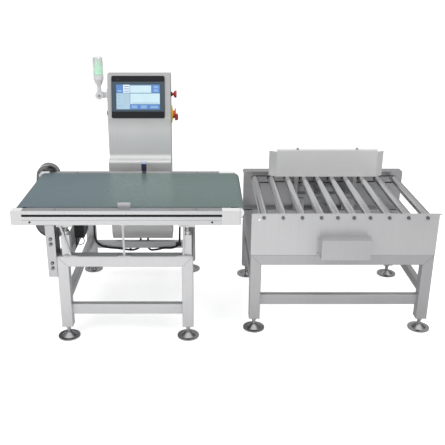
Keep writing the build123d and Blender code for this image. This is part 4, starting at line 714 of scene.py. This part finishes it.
def add_band(mesh, middle, along, radius, width, thickness):
    """A flat band round a cable, square to its run."""
    known = set(mesh.verts)
    for reach in (radius, radius + thickness):
        bmesh.ops.create_circle(mesh, cap_ends=False, segments=28, radius=reach)
    rims = meeting(added(mesh, known), "link_edges")
    ring = bmesh.ops.bridge_loops(mesh, edges=rims)["faces"]
    raised = bmesh.ops.extrude_face_region(mesh, geom=ring)["geom"]
    top = [corner for corner in raised if isinstance(corner, bmesh.types.BMVert)]
    bmesh.ops.translate(mesh, verts=top, vec=(0, 0, width))
    seat = Matrix.Translation(middle) @ facing(along) @ Matrix.Translation((0, 0, -width / 2))
    bmesh.ops.transform(mesh, matrix=seat, verts=added(mesh, known))


cable_rubber = plastic("cable_rubber", (0.014, 0.014, 0.015), roughness=0.42, patches=0.2,
                       bump=0.3)
dress(cable_rubber, "held_cables")
nylon_black = plastic("nylon_black", (0.012, 0.012, 0.013), roughness=0.34, patches=0.1, bump=0.1)
ties = bmesh.new()
for (x, y, z), along in ties_at:
    add_band(ties, (x, y, z), along, tie_radius, tie_width, tie_thickness)
    across, up = tie_head_half
    add_block(ties, (x - across, y - tie_head_reach, z - up),
              (x + across, y - tie_radius, z + up), rounding=0.0006)
    add_block(ties, (x - mount_half, y + mount_start, z - mount_half),
              (x + mount_half, leg_tie_face, z + mount_half), rounding=0.0008)
smooth_object("cable_ties", ties, [nylon_black], "base")
clamp = bmesh.new()
add_block(clamp, clamp_low, clamp_high, rounding=0.003, segments=3)
clamp_middle = (clamp_low[2] + clamp_high[2]) / 2
for across in clamp_screws_x:
    place = (across, clamp_low[1] + clamp_screw_sunk, clamp_middle)
    add_screw(clamp, place, forwards, radius=0.003, height=0.0018)
smooth_object("cable_clamp", clamp, [nylon_black], "base")


# The control cabinet: folded stainless sheets with a leaning head, a rear door on three
# lift-off hinges and a quarter-turn lock. Its sheet is brushed up and down; its colour is painted
# darker on the head and on the foot than on the neck, painted shade standing in for the room's
# reflections.
hinge_bottoms = (0.308, 0.6255, 0.943)
leaf_screw_rises = (0.012, 0.048)
leaf_face = -0.5806
leaf_screw_y = 0.401


def group_in(material):
    """The finish group that a material was given."""
    return next(node for node in material.node_tree.nodes if node.type == "GROUP")


cabinet_steel = metal("cabinet_steel", (0.70, 0.70, 0.70), roughness=0.4, across=(420, 420, 5),
                      line_depth=0.1, patches=0.1, metallic=0.55)
tree = cabinet_steel.node_tree
height = axes_of(tree)["Z"]
# Painted shade: the head and the foot are painted darker than the neck, in place of the darker
# room they mirror.
painted_head_shade = in_range(tree, height, (0.80, 0.90), (0.84, 0.56))
painted_foot_shade = in_range(tree, height, (0.66, 0.72), (0.86, 1.0))
feed(tree, group_in(cabinet_steel).inputs["Color"], product(tree, painted_head_shade, painted_foot_shade))
dress(cabinet_steel, "cabinet_shell", "cabinet_door")
hinge_steel = metal("hinge_steel", (0.52, 0.52, 0.52), roughness=0.25, across=(60, 60, 400),
                    line_depth=0.15, patches=0.2)
dress(hinge_steel, "door_hinges")
lock_nickel = metal("lock_nickel", (0.55, 0.54, 0.50), roughness=0.25, across=(80, 80, 80),
                    line_depth=0.15, patches=0.2)
dress(lock_nickel, "door_lock")
leaf_seats = [((leaf_face, leaf_screw_y, bottom + rise), leftwards)
              for bottom in hinge_bottoms for rise in leaf_screw_rises]
add_screws("hinge_screws", leaf_seats, radius=0.0024, height=0.0016, material=screw_steel)


# The operator panel: a black moulded frame flush on the leaning head, a slate front foil
# between its two black bands, and a status lamp in the upper band.
panel_lean = math.radians(15)
panel_base = Vector((0.0, 0.2867, 0.87536))
panel_up = Vector((0.0, math.sin(panel_lean), math.cos(panel_lean)))
panel_out = Vector((0.0, -math.cos(panel_lean), math.sin(panel_lean)))
panel_middle = -0.4235
foil_bottom = 0.9075
foil_top = 1.0525
foil_half_width = 0.1338
foil_edge = 0.0003
band_black = (0.014, 0.014, 0.017)
foil_slate = (0.075, 0.105, 0.135)
status_place = (-0.5265, 0.19383, 0.0002)
status_radius = 0.003
status_flatness = 0.35


def edge_at(tree, value, place, rising):
    """A mask that is 1 on one side of a printed edge: beyond it where rising."""
    ends = (0.0, 1.0) if rising else (1.0, 0.0)
    return in_range(tree, value, (place - foil_edge, place + foil_edge), ends)


def on_panel(across, up, out):
    """A place on the leaning panel: across in X, up its front and out from it."""
    return Vector((across, 0, 0)) + panel_base + panel_up * up + panel_out * out


def glowing(name, color, strength):
    """A lit display colour, slightly uneven like a backlit panel."""
    material, tree, shader = new_material(name)
    clouds = noise_value(tree, object_place(tree), scale=22.0, detail=2.0)
    uneven = total(tree, product(tree, clouds, 0.16), 1.0)
    light = color_mix(tree, 1.0, color, uneven, "MULTIPLY")
    tree.links.new(light, shader.inputs["Emission Color"])
    shader.inputs["Emission Strength"].default_value = strength
    feed(tree, shader.inputs["Base Color"], (0.02, 0.02, 0.02))
    shader.inputs["Roughness"].default_value = 0.22
    return material


material, tree, shader = new_material("panel_front")
axes = axes_of(tree)
from_middle = arithmetic(tree, "ABSOLUTE", total(tree, axes["X"], -panel_middle))
foil = product(tree, edge_at(tree, axes["Z"], foil_bottom, True),
               edge_at(tree, axes["Z"], foil_top, False),
               edge_at(tree, from_middle, foil_half_width, False))
tone = color_mix(tree, foil, band_black, foil_slate)
wear_finish(tree, shader, add_finish(tree, moulded, tone, patches=0.1, roughness=0.3))
shader.inputs["Specular IOR Level"].default_value = 0.3
dress(material, "panel_frame")
status_grey = glowing("status_grey", (0.10, 0.13, 0.13), strength=0.5)
status_seat = (Matrix.Translation(on_panel(*status_place)) @ facing(panel_out)
               @ Matrix.Diagonal((1, 1, status_flatness, 1)))
status = bmesh.new()
add_dome(status, status_radius, status_seat, segments=16, rings=8)
smooth_object("panel_status_lamp", status, [status_grey], "base")


# The touch screen: glass with plain lit fields and buttons behind it. No field carries a
# word or a figure.
screen_width = 0.223
screen_height = 0.126
screen_proud = 0.003
field_proud = 0.0001
layer_depth = 0.00015
field_tones = [glowing("field_blue", (0.115, 0.29, 0.73), strength=0.85),
               glowing("field_white", (0.86, 0.96, 0.98), strength=0.95),
               glowing("field_pale", (0.66, 0.87, 0.96), strength=0.95),
               glowing("field_cyan", (0.50, 0.71, 0.86), strength=0.85),
               glowing("field_light_blue", (0.30, 0.52, 0.86), strength=0.85)]
blue, white_field, pale, cyan, light_blue = range(len(field_tones))
# Each field: left, right, top and bottom as shares of the screen, its tone and its layer.
screen_layout = (
    (0.005, 0.150, 0.01, 0.33, blue, 1), (0.160, 0.310, 0.01, 0.33, white_field, 1),
    (0.320, 0.800, 0.04, 0.33, pale, 1), (0.810, 0.995, 0.01, 0.33, blue, 1),
    (0.005, 0.312, 0.35, 0.98, cyan, 1), (0.322, 0.995, 0.36, 0.78, pale, 1),
    (0.322, 0.995, 0.80, 0.98, blue, 1), (0.350, 0.480, 0.83, 0.95, light_blue, 2),
    (0.560, 0.700, 0.83, 0.95, light_blue, 2), (0.780, 0.960, 0.85, 0.95, light_blue, 2),
    (0.030, 0.125, 0.22, 0.29, light_blue, 2), (0.175, 0.295, 0.07, 0.10, blue, 2),
    (0.175, 0.295, 0.16, 0.19, blue, 2), (0.175, 0.295, 0.25, 0.28, blue, 2),
    (0.855, 0.965, 0.05, 0.15, light_blue, 2), (0.855, 0.965, 0.19, 0.29, light_blue, 2),
    (0.035, 0.090, 0.43, 0.45, light_blue, 2), (0.035, 0.090, 0.55, 0.57, light_blue, 2),
    (0.035, 0.090, 0.67, 0.69, light_blue, 2), (0.035, 0.150, 0.83, 0.85, light_blue, 2),
    (0.350, 0.965, 0.72, 0.76, cyan, 2))
material, tree, shader = new_material("screen_glass")
group = add_finish(tree, moulded, (0.10, 0.20, 0.32), patches=0.1, roughness=0.16)
wear_finish(tree, shader, group)
tree.links.new(group.outputs["Color"], shader.inputs["Emission Color"])
shader.inputs["Emission Strength"].default_value = 0.5
dress(material, "panel_screen")
fields = bmesh.new()
for left, right, top, bottom, tone, layer in screen_layout:
    known = set(fields.faces)
    add_block(fields, (left * screen_width, 0.0, (1 - bottom) * screen_height),
              (right * screen_width, field_proud + layer_depth * layer, (1 - top) * screen_height),
              rounding=0.00005, segments=1)
    for face in set(fields.faces) - known:
        face.material_index = tone
screen_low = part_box("panel_screen")[0]
screen_seat = screen_low + Vector((0, 0, screen_proud * math.sin(panel_lean)))
turn = Matrix((Vector((1, 0, 0)), panel_out, panel_up)).transposed().to_4x4()
bmesh.ops.transform(fields, matrix=Matrix.Translation(screen_seat) @ turn, verts=fields.verts)
smooth_object("screen_fields", fields, field_tones, "base")


# The controls on the cabinet's right side: a red stop button in its black collar, and the
# mains isolator, a yellow plate with a red rotary handle whose lower half is painted darker as
# painted shade.
# The plate's four screws are level with its round boss, 5 mm off the plate.
handle_split = (0.872, 0.882)
handle_painted_shade = (0.34, 0.008, 0.006)
handle_unshaded_red = (0.78, 0.075, 0.030)
isolator_screw_inset = 0.008
isolator_screw_sunk = 0.0001
button_red = plastic("button_red", (0.62, 0.022, 0.018), roughness=0.26, patches=0.08,
                     bump=0.05, coat=0.4)
dress(button_red, "stop_button")
dress(plastic("collar_black", (0.015, 0.015, 0.016), roughness=0.4), "stop_collar")
isolator_yellow = plastic("isolator_yellow", (0.85, 0.60, 0.03), roughness=0.34, patches=0.08)
dress(isolator_yellow, "isolator_base")
handle_red = plastic("handle_red", handle_painted_shade, roughness=0.3, patches=0.08, bump=0.05, coat=0.3)
tree = handle_red.node_tree
# Painted shade: the handle's lower half is painted darker than its upper half.
upper = in_range(tree, axes_of(tree)["Z"], handle_split, (0.0, 1.0))
tone = color_mix(tree, upper, handle_painted_shade, handle_unshaded_red)
feed(tree, group_in(handle_red).inputs["Color"], tone)
dress(handle_red, "isolator_handle")
plate_low, plate_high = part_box("isolator_base")
boss_face = plate_high.x - isolator_screw_sunk
plate_seats = [((boss_face, across, height), rightwards)
               for across in (plate_low.y + isolator_screw_inset,
                              plate_high.y - isolator_screw_inset)
               for height in (plate_low.z + isolator_screw_inset,
                              plate_high.z - isolator_screw_inset)]
add_screws("isolator_screws", plate_seats, radius=0.0026, height=0.0016, material=black_screw)


# The signal lamp: a white moulded stem and cup on a folding bracket, with a clear-white
# ribbed lens round a green lit core, and a grey cap 3 mm before the pivot pin's head.
lamp_x, lamp_y = -0.6265, 0.3598
lens_ribs = 110.0
core_radius = 0.0130
core_bottom = 1.0872
core_top = 1.1500
bracket_screw_inset = 0.006
bracket_face = -0.5856
pivot_height = 0.979
pivot_radius = 0.0055
pivot_flatness = 0.35
lamp_white = plastic("lamp_white", (0.80, 0.80, 0.81), roughness=0.36, patches=0.05, bump=0.1)
dress(lamp_white, "lamp_bracket", "lamp_arm")
material, tree, shader = new_material("lens_white")
add_relief(tree, shader, add_rings(tree, lens_ribs), strength=0.25, depth=0.0004)
low_glow = in_range(tree, axes_of(tree)["Z"], (1.09, 1.155), (1.0, 0.0))
tone = color_mix(tree, low_glow, (0.78, 0.80, 0.80), (0.74, 0.90, 0.80))
tree.links.new(tone, shader.inputs["Base Color"])
tree.links.new(tone, shader.inputs["Emission Color"])
shader.inputs["Emission Strength"].default_value = 0.08
shader.inputs["Roughness"].default_value = 0.18
shader.inputs["Transmission Weight"].default_value = 0.6
shader.inputs["IOR"].default_value = 1.2
dress(material, "lamp_lens")
core_green = glowing("core_green", (0.30, 0.93, 0.50), strength=1.0)
core = bmesh.new()
add_rod(core, (lamp_x, lamp_y, core_bottom), (lamp_x, lamp_y, core_top), core_radius,
        segments=32)
rims = [edge for edge in core.edges if len(edge.link_faces) == 2 and edge.calc_face_angle() > 1.0]
bmesh.ops.bevel(core, geom=rims, offset=0.004, offset_type="OFFSET", affect="EDGES",
                segments=4, profile=0.5, material=-1)
smooth_object("lamp_core", core, [core_green], "lamp")
bracket_low, bracket_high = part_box("lamp_bracket")
bracket_seats = [((bracket_face, across, height), leftwards)
                 for across in (bracket_low.y + bracket_screw_inset,
                                bracket_high.y - bracket_screw_inset)
                 for height in (bracket_low.z + bracket_screw_inset,
                                bracket_high.z - bracket_screw_inset)]
add_screws("lamp_bracket_screws", bracket_seats, radius=0.0022, height=0.0014,
           material=screw_steel)
pivot_grey = plastic("pivot_grey", (0.25, 0.25, 0.26), roughness=0.4)
pivot_seat = (Matrix.Translation((lamp_x, bracket_low.y, pivot_height))
              @ Matrix.Diagonal((1, pivot_flatness, 1, 1)))
cap = bmesh.new()
add_dome(cap, pivot_radius, pivot_seat, segments=24, rings=12)
smooth_object("lamp_pivot_cap", cap, [pivot_grey], "base")


# The reject table: the same square tube as the weighing table, welded in the same way and
# a little lower, its colour painted darker than the weighing table's as painted shade.
# Painted shade: a darker copy of the weighing table's steel.
shaded_table_steel = metal("shaded_table_steel", (0.50, 0.50, 0.51), roughness=0.34, across=(400, 400, 12),
                    line_depth=0.12, metallic=0.6)
dress(shaded_table_steel, "reject_frame")


# The side plates of the roller bed: laser-cut stainless sheet with folded hems, brushed
# up and down, that carry the ten axles.
plate_steel = metal("plate_steel", (0.63, 0.63, 0.64), roughness=0.36, across=(420, 420, 3),
                    line_depth=0.14, patches=0.1, metallic=0.65)
dress(plate_steel, "front_side_plate")
# Painted shade: the rear plate is the front plate's sheet painted darker.
shaded_rear_plate_steel = metal("shaded_rear_plate_steel", (0.44, 0.44, 0.45), roughness=0.32,
                         across=(420, 420, 3), line_depth=0.14, patches=0.1, metallic=0.65)
dress(shaded_rear_plate_steel, "rear_side_plate")


# The pusher: a folded stainless plate with swept wings on two posts, carried by guide
# bearings on two ground rods and driven by the rodless cylinder between them.
pusher_steel = metal("pusher_steel", (0.84, 0.84, 0.84), roughness=0.46, across=(4, 420, 420),
                     line_depth=0.1, patches=0.08, metallic=0.5)
dress(pusher_steel, "pusher_plate")
post_steel = metal("post_steel", (0.60, 0.60, 0.60), roughness=0.36, across=(120, 120, 6))
dress(post_steel, "pusher_posts")
carriage_aluminium = metal("carriage_aluminium", (0.50, 0.50, 0.52), roughness=0.42,
                           across=(160, 160, 160), line_depth=0.2, patches=0.15)
dress(carriage_aluminium, "pusher_carriage", "guide_supports")
barrel_aluminium = metal("barrel_aluminium", (0.56, 0.56, 0.58), roughness=0.38,
                         across=(260, 2, 260), line_depth=0.18, patches=0.1)
dress(barrel_aluminium, "cylinder_barrel")
rod_steel = metal("rod_steel", (0.68, 0.68, 0.69), roughness=0.14, across=(8, 600, 8),
                  line_depth=0.08, patches=0.06, bump=0.05)
dress(rod_steel, "guide_rods")


# The cylinder's front cover: a folded sheet box, screwed to the front plate through the
# flanges at its two sides.
cover_screw_inset = 0.007
cover_screw_rise = 0.012
flange_face = -0.3400
cover_steel = metal("cover_steel", (0.56, 0.56, 0.57), roughness=0.34, across=(420, 420, 4),
                    line_depth=0.14, patches=0.12, metallic=0.65)
dress(cover_steel, "front_cover")
cover_low, cover_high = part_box("front_cover")
cover_seats = [((along, flange_face, height), forwards)
               for along in (cover_low.x + cover_screw_inset, cover_high.x - cover_screw_inset)
               for height in (cover_low.z + cover_screw_rise, cover_high.z - cover_screw_rise)]
add_screws("cover_screws", cover_seats, radius=0.0034, height=0.0022, material=screw_steel)
